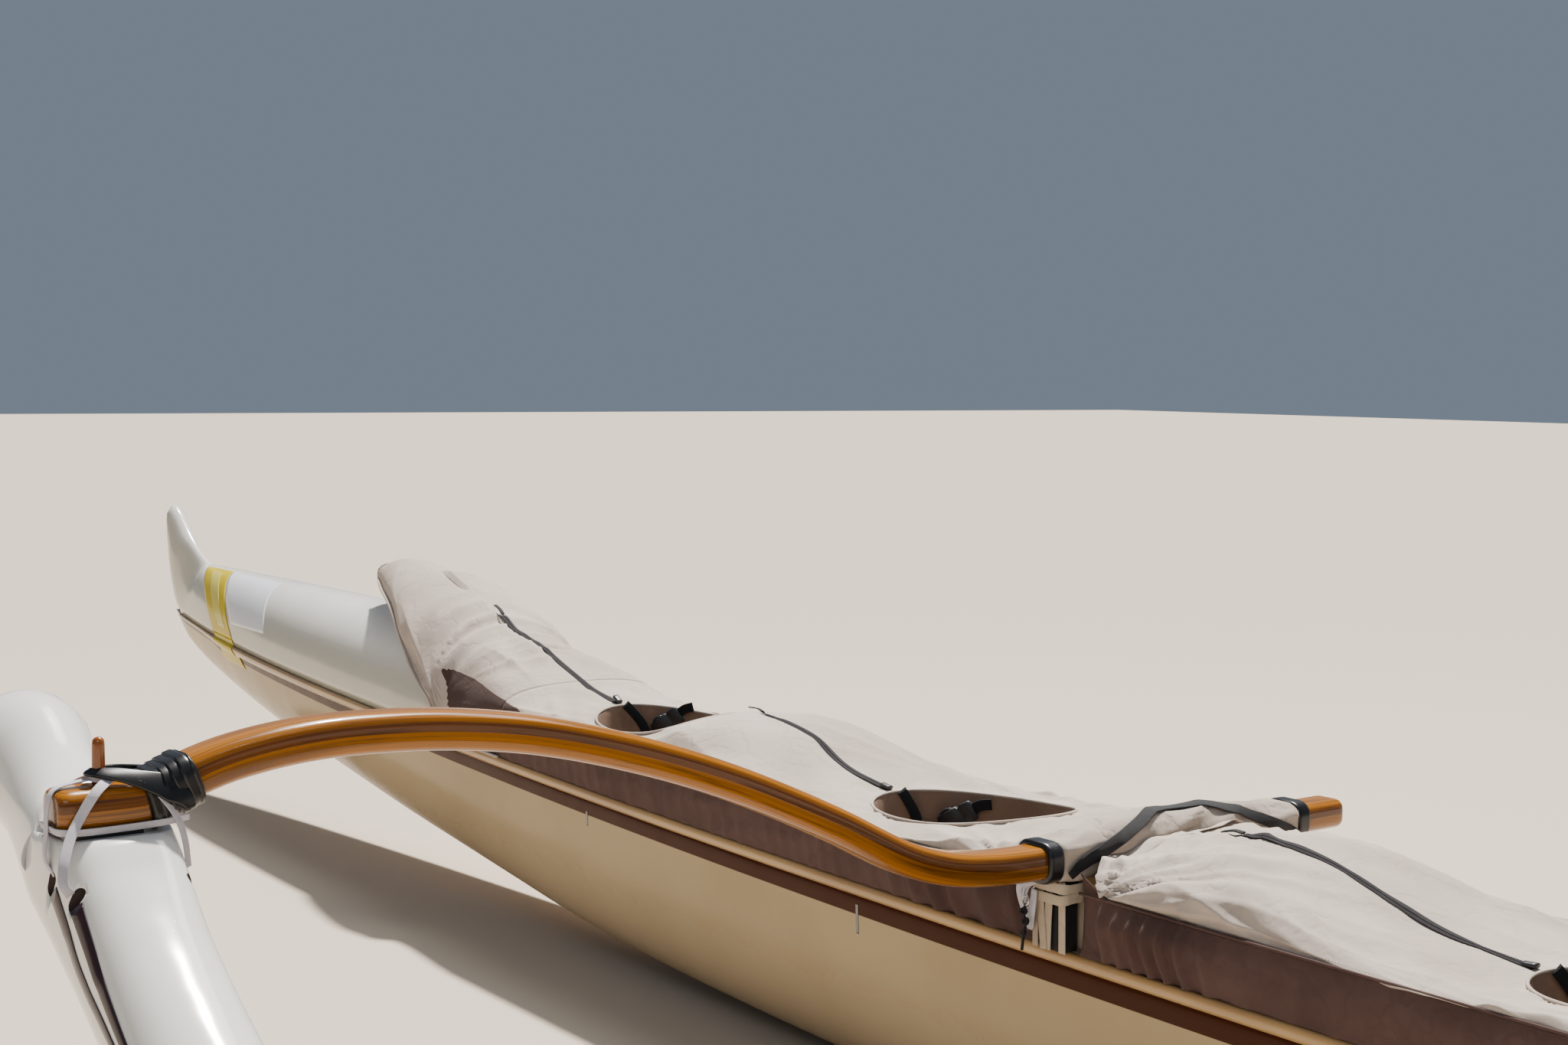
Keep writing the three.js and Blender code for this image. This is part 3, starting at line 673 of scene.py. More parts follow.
rubbed(shader, 6.0, .5, .24, .3)
bump(shader, plus(grain, glue), .00035)
peg_wood = gelcoat("peg_wood", (.22, .06, .005, 1), (.06, .018, .004, 1))
print("strip and wood finishes ready")

# %% [markdown]
# Cloth needs three scales at once: threads in the weave group's bump, wrinkles in the mesh, and
# between them the fine creases of handling. The colour darkens along the creases as painted shade, so it
# follows them.

# %% Cloth finishes
CANVAS = ((.53, .45, .39, 1), (.43, .355, .3, 1))
PANEL_BROWN = (.07, .039, .034, 1)
BLACK = ((.01, .01, .012, 1), (.005, .005, .006, 1))
# The first darkens the creases as painted shade; the second darkens specks of real dirt.
CREASE_SHADE, SPECK_DIRT = .3, .25


def cloth(name, colours, rough=.85, threads=700.0, thread_depth=.00025, crease=.0014, panel=None):
    """A woven cloth. panel is a second colour, used where the mesh's panel attribute is 1."""
    colour, shade = colours
    material, tree, shader = new_material(
        name, Roughness=rough, Sheen_Weight=.03, Sheen_Roughness=.4, Specular_IOR_Level=.25)
    place = object_place(tree)
    folded = maths("ABSOLUTE", maths("SUBTRACT", noise(place, 9.0), .5))
    fold_line = ramp(folded, 0.0, .05)
    # Painted shade: along the crease lines the colour goes towards the darker shade colour.
    dirt_and_crease_shade = times(inverse(fold_line), CREASE_SHADE)
    base = blend_colours(dirt_and_crease_shade, toned(shader, colour, shade, 3.5, .9), shade)
    specks = ramp(noise(place, 420.0, 2.0), .45, .75)
    base = blend_colours(times(specks, SPECK_DIRT), base, shade)
    if panel:
        base = blend_colours(ramp(stored(tree, "panel"), .46, .54), base, panel)
    feed(shader, Base_Color=base)
    creased = bump(shader, plus(fold_line, noise(place, 26.0, 4.0)), crease, .5)
    woven = use(tree, weave, Threads_per_metre=threads, Softness=.5)
    bump(creased, woven["Height"], thread_depth)
    return material


canvas = cloth("canvas", CANVAS)
hood_canvas = cloth("hood_canvas", CANVAS, panel=PANEL_BROWN)
sleeve_canvas = cloth("sleeve_canvas", ((.44, .37, .31, 1), (.27, .22, .18, 1)), crease=.003)
skirt_cloth = cloth("skirt_cloth", ((.105, .06, .052, 1), (.066, .036, .031, 1)), crease=.001)
collar_cloth = cloth("collar_cloth", ((.3, .19, .13, 1), (.22, .135, .092, 1)), crease=.001)
# After the two colours: roughness, threads to a metre, depth of a thread, depth of the creasing
black_webbing = cloth("black_webbing", BLACK, .6, 420.0, .0006, .0004)
tan_webbing = cloth("tan_webbing", ((.52, .43, .32, 1), (.36, .28, .2, 1)), .8, 420.0, .0006, .0008)
pale_webbing = cloth(
    "pale_webbing", ((.66, .63, .68, 1), (.5, .47, .52, 1)), .7, 420.0, .0006, .0006)
zip_tape = cloth("zip_tape", ((.014, .008, .014, 1), (.008, .005, .008, 1)), .7, 900.0, .0003, .0004)

rubber, _, shader = new_material("rubber", Roughness=.35, Specular_IOR_Level=.4)
toned(shader, *BLACK, 14.0)
bump(shader, rubbed(shader, 12.0, .8, .3, .35)["Height"], .0005)

black_plastic, tree, shader = new_material("black_plastic", Roughness=.4)
toned(shader, (.018, .018, .02, 1), (.028, .027, .028, 1), 30.0)
bump(shader, noise(object_place(tree), 900.0, 2.0), .0002)
print("cloth, rubber and plastic finishes ready")

# %% [markdown]
# ## Hull
# The hull is one long rounded U, closed and solid at both ends and open over the cockpit.
# Sections of the same number of points are lofted from stem to stem. Each section is a ring that
# runs down the outside and back up the inside. Past the cockpit the inner half lies flat under the
# deck, so the bulkhead forms by itself where the two kinds of section meet.

# %% Hull skin
SIDE_STEPS = 22
HULL_STEP = .07
THINNEST = .002  # half beam at the very stem
ROUNDNESS, V_ROUNDNESS = .85, .8  # powers that bend a U and a V section
V_START = 3.6  # from here to the stem the sections turn from a U into a V
V_SHARE = .75
LID_INSET = .02  # share of the width that a solid section's lid stays off the gunwales
RAIL_HEIGHT = .028
RAIL_TAPER, TAPER_RUN = 5.9, .3  # from here the moulding narrows to half over this length
BAND_HALVES = 6.0  # past this the dark band starts under half a moulding
BAND_SHOWS, BAND_NARROWS = .042, .032
FAR_BELOW = 9.0  # marks the inside, which has no band


def hull_half(x, inset=0.0, floor_up=0.0):
    """Half a section at x, from the keel out to the gunwale, as y and z."""
    half = max(float(beam(x)) - inset, THINNEST)
    low, high = float(keel(x)) + floor_up, float(sheer(x))
    flat = min(KEEL_FLAT, half / 2)
    a = np.linspace(0, math.pi / 2, SIDE_STEPS)
    up = 1 - np.maximum(np.cos(a), 0) ** ROUNDNESS
    sharp = V_SHARE * bounded((abs(x) - V_START) / (STEM - V_START))
    out = np.sin(a) ** ROUNDNESS * (1 - sharp) + up ** V_ROUNDNESS * sharp
    return flat + (half - flat) * out, low + (high - low) * up


def full_section(x, y, z):
    """The half section mirrored, from starboard under the keel to port."""
    ys = np.concatenate([-y[::-1], y])
    zs = np.concatenate([z[::-1], z])
    return np.column_stack([np.full(len(ys), x), ys + HULL_Y, zs])


def hull_ring(x, hollow):
    outside = full_section(x, *hull_half(x))
    if hollow:
        inside = full_section(x, *hull_half(x, WALL, BOTTOM))[::-1]
    else:
        share = np.linspace(LID_INSET, 1 - LID_INSET, len(outside))[:, None]
        inside = outside[-1] + (outside[0] - outside[-1]) * share
    return np.vstack([outside, inside])


def band_depth(x):
    """How far below the gunwale the dark band ends: under the moulding, and narrower to the stems."""
    moulding = RAIL_HEIGHT * (.5 if abs(x) > BAND_HALVES else 1)
    return moulding + BAND_SHOWS - BAND_NARROWS * (abs(x) / STEM) ** 3


cavity_end = COCKPIT_END - BOTTOM
stations = list(np.arange(-STEM, STEM + HULL_STEP / 2, 2 * STEM / round(2 * STEM / HULL_STEP)))
rows, below_rows, band_rows = [], [], []
for x in sorted(stations + [-cavity_end, cavity_end]):
    kinds = [abs(x) < cavity_end - SLIVER]
    if abs(abs(x) - cavity_end) < SLIVER:
        kinds = [x > 0, x < 0]
    for hollow in kinds:
        ring = hull_ring(x, hollow)
        rows.append(ring)
        outer_half = np.arange(len(ring)) < 2 * SIDE_STEPS
        below_rows.append(np.where(outer_half, sheer(x) - ring[:, 2], FAR_BELOW))
        band_rows.append(np.full(len(ring), band_depth(x)))
hull = skin("hull_skin", rows, ring=True, caps=True, values={"below": below_rows, "band": band_rows})
dress(hull, hull_paint, "hull_gelcoat", "hull")
print("hull skin:", len(hull.data.polygons), "faces")

# %% [markdown]
# ## Decks and horns
# Beyond the cockpit the hull is closed by a rounded deck that sweeps up into a horn. The sections
# lean further and further back towards the tip, so each is given by the place of its foot and the
# place of its crown. A smooth curve through those places makes as many sections as the light needs.

# %% Decks
DECK_STEP = .02
DECK_SIDES = 72
DECK_ROUND = .9  # power that bends the arch of a deck's section
SEAT_UP = .0003  # a piece stands this far off the one that it rests on


def smooth_rings(table, step):
    """The rows of a table, with smooth rows between them, about step apart."""
    rows = np.asarray(table, float)
    places = (rows[:, [0, 1]] + rows[:, [2, 3]]) / 2
    run = lengths_along(places)
    spaced = np.column_stack([run, rows])
    count = int(run[-1] / step) + 1
    at = np.linspace(0, run[-1], count)
    return np.column_stack([smooth(spaced, c + 1, at) for c in range(rows.shape[1])])


def deck_table():
    shoulders = [(x, 0, x, crown, half, 0) for x, _, half, crown in HULL_LINES if crown > 0]
    table = []
    for foot_x, foot_z, top_x, top_z, half, bulge in shoulders + HORN_LINES:
        table.append((foot_x, foot_z or float(sheer(foot_x)) + SEAT_UP, top_x, top_z, half, bulge))
    return table


def deck(name, way):
    rows = []
    a = ring_angles(DECK_SIDES) - math.pi / 2
    over = np.maximum(np.sin(a), 0) ** DECK_ROUND
    arched = np.sign(np.cos(a)) * np.abs(np.cos(a)) ** DECK_ROUND
    flat = np.where(np.sin(a) > 0, arched, np.cos(a))
    for foot_x, foot_z, top_x, top_z, half, bulge in smooth_rings(deck_table(), DECK_STEP):
        rounding = bounded((foot_x - HORN_ROUND[0]) / (HORN_ROUND[1] - HORN_ROUND[0]))
        up = over + ((1 + np.sin(a)) / 2 - over) * rounding
        side = flat + (np.cos(a) - flat) * rounding
        wide = half + bulge * np.sin(math.pi * up)
        wide = wide + (half + bulge - wide) * rounding
        x, z = foot_x + (top_x - foot_x) * up, foot_z + (top_z - foot_z) * up
        rows.append(np.column_stack([way * x, wide * side + HULL_Y, z]))
    return skin(name, rows, ring=True, caps=True)


for name, way in (("bow_deck", 1), ("stern_deck", -1)):
    made = dress(deck(f"{name}_skin", way), deck_paint, "hull_gelcoat", name)
    print(name, "has", len(made.data.polygons), "faces")

# %% Gunwale mouldings
RAIL_THICK = .014
RAIL_END = 6.5
RAIL_STATIONS = 190
RAIL_POINTS = 13


def side_breadth(x, z):
    y, heights = hull_half(x)
    return float(np.interp(z, heights, y))


def rail(name, side):
    rows = []
    a = np.linspace(0, math.pi, RAIL_POINTS)
    for x in np.linspace(-RAIL_END, RAIL_END, RAIL_STATIONS):
        taper = 1 - .5 * bounded((abs(x) - RAIL_TAPER) / TAPER_RUN)
        thick, high = RAIL_THICK * taper, RAIL_HEIGHT * taper
        inner, top = float(beam(x)) + SEAT_UP, float(sheer(x))
        low = side_breadth(x, top - high) + SEAT_UP
        down = (1 - np.cos(a)) / 2
        out = np.maximum(np.sin(a), 0) ** .6 * thick
        y = side * (inner + (low - inner) * down + out) + HULL_Y
        rows.append(np.column_stack([np.full(RAIL_POINTS, x), y, top - high * down]))
    shares = [np.linspace(0, 1, RAIL_POINTS)] * RAIL_STATIONS
    return skin(name, rows, ring=True, caps=True, values={"across": shares})


for hand, side in SIDES:
    dress(rail(f"rail_{hand}", side), rail_paint, "rail", f"gunwale_rail_{hand}")
print("mouldings along both gunwales, each", round(2 * RAIL_END, 2), "m")

# %% [markdown]
# ## Cross booms
# Each boom leaves the hull level, sweeps up over the water and comes down to the float.
# The line of its middle is a short table. A rounded section is carried along the line, square to
# it, and stores its own height within the section, which is what the laminations follow.

# %% Booms
IAKO_WIDTH = .076
IAKO_HEIGHT = .058
STUB_REACH = .485
FOOT_END = 2.09
CORNER = .019
BOOM_STEP = .018
TIP, TIP_SCALE = .016, .72  # length of a rounded end, and its size at the very end
# Columns: distance to port of the hull's centreline, height of the boom's middle
IAKO_LINE = [
    (-.485, .627), (-.25, .627), (0, .627), (.34, .627), (.37, .627), (.45, .631), (.55, .645), (.65, .677),
    (.81, .757), (1.0, .841), (1.18, .905), (1.36, .953), (1.51, .976), (1.65, .984), (1.75, .981),
    (1.84, .968), (1.9, .951), (1.94, .933), (1.972, .9215), (1.99, .92), (2.04, .92), (2.09, .92),
]


def round_box(width, height, corner, per_corner=5):
    """A rounded rectangle about the middle, as across and up."""
    points = []
    for k, (cx, cy) in enumerate(((1, 1), (-1, 1), (-1, -1), (1, -1))):
        for a in np.linspace(0, math.pi / 2, per_corner):
            turn = a + k * math.pi / 2
            points.append((
                cx * (width / 2 - corner) + corner * math.cos(turn),
                cy * (height / 2 - corner) + corner * math.sin(turn)))
    return np.array(points)


def boom_frame(y):
    """Height and tilt of the boom's line at y from the hull's centreline."""
    step = .004
    rise = (smooth(IAKO_LINE, 1, y + step) - smooth(IAKO_LINE, 1, y - step)) / (2 * step)
    return float(smooth(IAKO_LINE, 1, y)), math.atan(float(rise))


def boom_ring(x, y, extra=0.0, scale=1.0, per_corner=5):
    z, tilt = boom_frame(y)
    outline = round_box(IAKO_WIDTH + 2 * extra, IAKO_HEIGHT + 2 * extra, CORNER + extra, per_corner) * scale
    u, v = outline[:, 0], outline[:, 1]
    return np.column_stack([x + u, y - v * math.sin(tilt) + HULL_Y, z + v * math.cos(tilt)]), v


def boom(name, x):
    quarter = np.linspace(0, math.pi / 2, 6)
    ys = list(-STUB_REACH + TIP * (1 - np.cos(quarter)))
    ys += list(np.arange(-STUB_REACH + 2 * TIP, FOOT_END - TIP, BOOM_STEP))
    ys += list(FOOT_END - TIP * (1 - np.sin(quarter)))
    rows, layers = [], []
    for y in ys:
        end = min(y + STUB_REACH, FOOT_END - y, TIP) / TIP
        scale = TIP_SCALE + (1 - TIP_SCALE) * math.sqrt(max(1 - (1 - end) ** 2, 0))
        ring, height = boom_ring(x, y, 0.0, scale, 6)
        rows.append(ring)
        layers.append(height + 1.0)
    return skin(name, rows, ring=True, caps=True, values={"layer": layers})


IAKOS = [("front", IAKO_X[0]), ("rear", IAKO_X[1])]
for name, x in IAKOS:
    dress(boom(f"boom_{name}", x), varnished_wood, "wood", f"iako_{name}")
print("booms at x", [round(x, 3) for _, x in IAKOS])

# %% [markdown]
# ## Float
# The float is a banana-shaped tube: deep amidships, rising at both ends, with a round nose forward
# and a long taper aft. Its sections stand square to its rising middle line. Two flats on the
# top seat the feet of the booms.

# %% Float skin
SADDLE_X, SADDLE_Z = 1.65, .885
SADDLE_HALF, SADDLE_EDGE = .05, .012
SLOPE_STEP = .01
# Columns: distance from midship, height of the middle line, half width, depth below it,
# rise above it, roundness of the top
FLOAT_LINES = [
    (0, .13, .135, .13, .12, .95), (.35, .2, .129, .127, .118, .95), (.7, .322, .115, .116, .112, .95),
    (1.0, .448, .1, .104, .102, .95), (1.3, .593, .088, .092, .093, .9),
    (1.5, .7, .084, .088, .096, .75), (1.6, .756, .086, .088, .108, .6),
    (1.655, .787, .088, .088, .119, .55), (1.71, .817, .09, .089, .117, .55),
    (1.76, .843, .086, .088, .102, .65),
]
NOSE_LINES = [
    (1.82, .868, .078, .085, .088, .85), (1.88, .892, .074, .083, .084, .95),
    (1.93, .911, .08, .086, .087, 1), (1.98, .931, .089, .091, .095, 1),
    (2.035, .945, .084, .082, .086, 1), (2.073, .954, .062, .06, .062, 1),
    (2.092, .958, .034, .032, .034, 1),
]
TAIL_LINES = [
    (1.82, .868, .09, .088, .098, .85), (1.96, .912, .082, .08, .084, .95),
    (2.15, .958, .066, .064, .066, 1), (2.35, .994, .046, .044, .046, 1), (2.5, 1.014, .025, .023, .025, 1),
    (2.555, 1.02, .01, .009, .01, 1),
]
aft = [(-row[0],) + row[1:] for row in FLOAT_LINES[1:] + TAIL_LINES][::-1]
FLOAT_TABLE = aft + FLOAT_LINES + NOSE_LINES
FLOAT_RING = 48


def float_ring(x):
    z, half, depth, rise, roundness = (float(smooth(FLOAT_TABLE, c, x)) for c in range(1, 6))
    rise_to = smooth(FLOAT_TABLE, 1, x + SLOPE_STEP) - smooth(FLOAT_TABLE, 1, x - SLOPE_STEP)
    slope = math.atan(float(rise_to) / (2 * SLOPE_STEP))
    a = ring_angles(FLOAT_RING)
    s, c = np.sin(a), np.cos(a)
    power = np.where(s > 0, roundness, 1.0)
    up = np.where(s > 0, rise, depth) * np.sign(s) * np.abs(s) ** power
    side = half * np.sign(c) * np.abs(c) ** power
    return np.column_stack([x - up * math.sin(slope), side + FLOAT_Y, z + up * math.cos(slope)])


def float_places():
    """Stations along the float, closer together at the saddles and at both round ends."""
    body = np.arange(-2.5, 2.03, .035)
    saddles = [way * (SADDLE_X + d) for way in (-1, 1) for d in np.arange(-.1, .1001, .008)]
    nose = 2.092 - .06 * (1 - np.sin(np.linspace(0, math.pi / 2, 9)))
    tail = -2.555 + .05 * (1 - np.cos(np.linspace(0, math.pi / 2, 6)))
    return sorted({round(float(x), 4) for x in [*body, *saddles, *nose, *tail]})


rows = []
for x in float_places():
    ring = float_ring(x)
    reach = np.minimum(*(abs(ring[:, 0] - way * SADDLE_X) for way in (-1, 1)))
    blend = np.clip((SADDLE_HALF + SADDLE_EDGE - reach) / SADDLE_EDGE, 0, 1)
    top = np.minimum(ring[:, 2], SADDLE_Z)
    ring[:, 2] = ring[:, 2] + (top - ring[:, 2]) * blend
    rows.append(ring)
float_skin = skin("float_skin", rows, ring=True, caps=True)
dress(float_skin, float_paint, "hull_gelcoat", "float")
print("float:", round(rows[-1][0][0] - rows[0][0][0], 2), "m long,", len(float_skin.data.polygons), "faces")

# %% [markdown]
# ## Wrinkles
# Cloth shapes come from two things: where it is held, which the tables give, and how it
# wrinkles between. The wrinkles are moved points, not shading, so they catch the light from every side.
# A smooth random field, from a seeded grid of numbers, stands in for the chances of handling.

# %% Smooth random field
def field(u, v, seed, size=64):
    """Smooth random numbers from -1 to 1 at u and v, one bump to each unit."""
    grid = np.random.default_rng(seed).uniform(-1, 1, (size, size))
    u, v = np.broadcast_arrays(np.asarray(u, float), np.asarray(v, float))
    i, j = np.floor(u).astype(int), np.floor(v).astype(int)
    s, t = u - i, v - j
    s, t = s * s * (3 - 2 * s), t * t * (3 - 2 * t)
    i0, i1, j0, j1 = i % size, (i + 1) % size, j % size, (j + 1) % size
    low = grid[i0, j0] * (1 - s) + grid[i1, j0] * s
    high = grid[i0, j1] * (1 - s) + grid[i1, j1] * s
    return low * (1 - t) + high * t


def folds(u, v, seed):
    """Ridges with sharper crests than valleys, as tight cloth makes."""
    return 1 - 2 * np.abs(field(u, v, seed)) ** .8


print("field at one place:", round(float(field(.3, .7, 5)), 3))

# %% [markdown]
# ## Spray cover
# The cover is three lengths of pale canvas, held down along the gunwales by dark skirts. It
# stands up as a ridge between the seats and dips to each seat hole. A grid of points is laid over
# that form. The holes are cut by dropping the faces inside an oval and drawing the edge points out
# on to it, which keeps the mesh clean and the edge smooth.

# %% The cover's form
SKIRT_HEIGHT = .115
SKIRT_OUT = .008
COVER_GAP = .056
HOOD_START = 3.76
HOLE_HALF_LENGTH = .25
HOLE_HALF_WIDTH = .178
CLOTH = .0016  # thickness of the canvas
SEATS = [(f"seat_{i + 1}", x) for i, x in enumerate((3.3, 2.19, .58, -.58, -2.19, -3.3))]
TO_HULL = np.array([0, HULL_Y, 0])  # from the hull's centreline to the frame
# Columns: distance from midship, ridge height, fullness of the arch (2 is round, more is squarer)
RIDGE = [
    (0, .68, 2.2), (.15, .662, 2.2), (.33, .612, 2.2), (.58, .588, 2.2), (.83, .566, 2.6),
    (1.05, .59, 3.2), (1.25, .654, 3), (1.4, .672, 2.4), (1.6, .654, 2.2), (1.7, .646, 2.2),
    (1.9, .628, 2.4), (2.15, .596, 2.4), (2.4, .588, 2.8), (2.6, .61, 2.8), (2.8, .678, 2.5),
    (3.0, .69, 2.3), (3.2, .632, 2.3), (3.45, .624, 2.3), (3.7, .656, 2.6), (3.8, .683, 2.6),
    (3.9, .708, 2.5), (4.11, .765, 2.2),
]


def ridge(x):
    return smooth(RIDGE, 1, np.abs(x))


def fullness(x):
    return smooth(RIDGE, 2, np.abs(x))


def seam(x):
    return sheer(x) + SKIRT_HEIGHT


def cover_half(x):
    return beam(x) + SKIRT_OUT


def cover_height(x, y):
    """Height of the canvas at x and y, with y from the hull's centreline."""
    n = fullness(x)
    side = np.minimum(np.abs(y) / cover_half(x), 1)
    low = seam(x)
    return low + (ridge(x) - low) * (1 - side ** n) ** (1 / n)


def arch(x, half, foot, top, full, count):
    a = np.linspace(0, math.pi, count)
    power = 2 / full
    side = -np.sign(np.cos(a)) * np.abs(np.cos(a)) ** power
    return np.column_stack([
        np.full(count, x), half * side, foot + (top - foot) * np.maximum(np.sin(a), 0) ** power])


def outward(rows):
    """Unit normals of a grid of points, up and out."""
    along = np.gradient(rows, axis=0)
    over = np.gradient(rows, axis=1)
    normal = np.cross(along, over)
    normal /= np.linalg.norm(normal, axis=2, keepdims=True) + 1e-12
    return normal if normal[..., 2].mean() > 0 else -normal


def hole_distance(x, y):
    """How far out a place lies from the nearest seat hole, where 1 is the hole's edge."""
    far = [np.hypot((x - cx) / HOLE_HALF_LENGTH, y / HOLE_HALF_WIDTH) for _, cx in SEATS]
    return np.min(far, axis=0)


print("cover height over the first seat", round(float(cover_height(SEATS[0][1], 0)), 3))

# %% Canvas tops
TOP_COUNT = 97
TOP_STEP = .012
UNDER_FOLDS = .004  # the cloth lies this far in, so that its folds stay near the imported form
CORNER_BACK = .055  # how far the hem is drawn back at the corners next to a boom
BESIDE_BOOM = 3.7  # a cover's end nearer to midship than this lies next to a boom


def joint(x):
    """0 where the tops meet the hood and the apron, so that both lie alike, and 1 from 6 cm away."""
    return np.clip(np.abs(np.abs(x) - HOOD_START) / .06, 0, 1)


def canvas_wrinkles(rows, share, start, end):
    """How far each point of a canvas grid moves out. share runs from 0 at one seam to 1 at the other."""
    x, y = rows[..., 0], rows[..., 1]
    edge = 1 - np.abs(2 * share - 1)
    hand = np.where(y > 0, 7.0, 3.0)
    long_fold = folds(x * 4.5 + edge * 3.0, edge * 1.3 + hand, 11) * .007
    cross_fold = folds(x * 8.0 - edge * 4.2, edge * 1.6 + hand, 12) * .0046
    swell = field(x * 1.7, y * 3.0, 13) * .008
    fans = 0.0
    for place in (start, end):
        if abs(place) < BESIDE_BOOM:
            reach = np.hypot(x - place, edge * .3)
            turn = np.arctan2(edge * .3, np.abs(x - place))
            fan = folds(turn * 9.5 + hand, reach * 1.3 + place, 16) * .0085
            fans = fans + fan * np.exp(-(reach / .45) ** 2)
    puckers = np.sin(x * 85 + 6 * field(x * 5, .5, 14)) * .002 * np.exp(-edge / .08)
    away = hole_distance(x, y)
    nearest = np.array([cx for _, cx in SEATS])[np.argmin([np.abs(x - cx) for _, cx in SEATS], axis=0)]
    turn = np.arctan2(y / HOLE_HALF_WIDTH, (x - nearest) / HOLE_HALF_LENGTH)
    pull = np.sin(turn * 11 + 5 * field(turn * 1.5, nearest, 15)) * .003
    pull = pull * np.exp(-np.maximum(away - 1, 0) / .35)
    calm = np.clip((away - 1.0) / .3, 0.0, 1)
    held = np.clip(edge / .05, 0.0, 1) * joint(x)
    return ((long_fold + cross_fold + swell + fans) * calm + puckers + pull) * held - UNDER_FOLDS


def canvas_grid(name, start, end):
    xs = np.linspace(start, end, int((end - start) / TOP_STEP) + 1)
    rows = np.array([arch(x, cover_half(x), seam(x) + SEAT_UP, ridge(x), fullness(x), TOP_COUNT) for x in xs])
    share = np.broadcast_to(np.linspace(0, 1, TOP_COUNT), rows.shape[:2])
    move = canvas_wrinkles(rows, share, start, end)
    rows = rows + outward(rows) * move[..., None]
    edge = 1 - np.abs(2 * share - 1)
    corner = np.clip(1 - edge / .55, 0, 1) ** 1.5
    for place, way in ((start, 1), (end, -1)):
        if abs(place) < BESIDE_BOOM:
            near = np.clip(1 - np.abs(rows[..., 0] - place) / .3, 0, 1)
            rows[..., 0] += way * CORNER_BACK * corner * near
    return rows


def cut_holes(rows):
    """Draws the points just inside each hole out to its edge, and tells which points fall away."""
    x, y = rows[..., 0], rows[..., 1]
    gone = np.zeros(x.shape, bool)
    for _, cx in SEATS:
        far = np.hypot((x - cx) / HOLE_HALF_LENGTH, y / HOLE_HALF_WIDTH)
        inside = far < 1
        if not inside.any():
            continue
        kept = ~inside
        near = kept.copy()
        near[1:] |= kept[:-1]
        near[:-1] |= kept[1:]
        wide = near.copy()
        wide[:, 1:] |= near[:, :-1]
        wide[:, :-1] |= near[:, 1:]
        edge = inside & wide
        grow = 1 / np.maximum(far[edge], .2)
        ex, ey = cx + (x[edge] - cx) * grow, y[edge] * grow
        rows[edge] = np.column_stack([ex, ey, cover_height(ex, ey) - .002])
        gone |= inside & ~wide
    return gone


def sheet_object(name, rows, gone=None, thick=CLOTH, values=None):
    """A sheet of cloth through rows of points, with its thickness laid inwards."""
    rows = rows + TO_HULL
    obj = skin(name, rows, closed=False, values=values)
    if gone is not None and gone.any():
        work = bmesh.new()
        work.from_mesh(obj.data)
        doomed = {tuple(np.round(p, 5)) for p in rows[gone]}
        verts = [v for v in work.verts if tuple(np.round(v.co, 5)) in doomed]
        bmesh.ops.delete(work, geom=verts, context="VERTS")
        inside = [
            f for f in work.faces
            if all(hole_distance(v.co.x, v.co.y - HULL_Y) < 1.0005 for v in f.verts)]
        bmesh.ops.delete(work, geom=inside, context="FACES")
        bmesh.ops.delete(work, geom=[v for v in work.verts if not v.link_faces], context="VERTS")
        work.to_mesh(obj.data)
        work.free()
    turn_to(obj, (0, 0, 1))
    thicken(obj, thick)
    return obj


# The seam along the top of the dark side panel, as distance from midship and height
PANEL_LINE = np.array([(3.36, .545), (3.48, .588), (3.62, .616), (3.76, .637), (4.14, .674)])
PANEL_RAKE = .62  # how far the panel's forward edge goes aft for each unit down
PANEL_EDGE, PANEL_CALM = .004, .07  # width of its edge, and of the stretch round it that creases less


def panel_share(rows):
    """1 on the dark side panel, which rises from the skirt to a point, and how freely the cloth creases."""
    x, z = np.abs(rows[..., 0]), rows[..., 2]
    below = np.interp(x, PANEL_LINE[:, 0], PANEL_LINE[:, 1]) - z
    behind = PANEL_LINE[-1, 0] - (PANEL_LINE[-1, 1] - z) * PANEL_RAKE - x
    inside = np.minimum(np.minimum(below, behind), x - PANEL_LINE[0, 0])
    return np.clip(inside / PANEL_EDGE + .5, 0, 1), np.clip(-inside / PANEL_CALM, 0, 1)


COVERS = [
    ("front", IAKO_X[0] + COVER_GAP, HOOD_START - SEAT_UP),
    ("middle", IAKO_X[1] + COVER_GAP, IAKO_X[0] - COVER_GAP),
    ("rear", -HOOD_START + SEAT_UP, IAKO_X[1] - COVER_GAP),
]
tops, grids = {}, {}
for name, start, end in COVERS:
    rows = canvas_grid(name, start, end)
    gone = cut_holes(rows)
    grids[name] = rows
    plain = np.dstack([rows[..., 0], rows[..., 1], cover_height(rows[..., 0], rows[..., 1])])
    tops[name] = sheet_object(f"canvas_{name}", rows, gone, values={"panel": panel_share(plain)[0]})
    dress(tops[name], hood_canvas, "canvas", f"cover_top_{name}")
    print(name, "canvas:", len(tops[name].data.polygons), "faces")

# %% Skirts
SKIRT_ROWS = 19
SKIRT_STEP = .006
FLAT_END = .05  # length of the flat panel next to a boom
PLEATS = 104  # radians of pleating to a metre
DEEP_PLEAT, SHALLOW_PLEAT = .024, .005


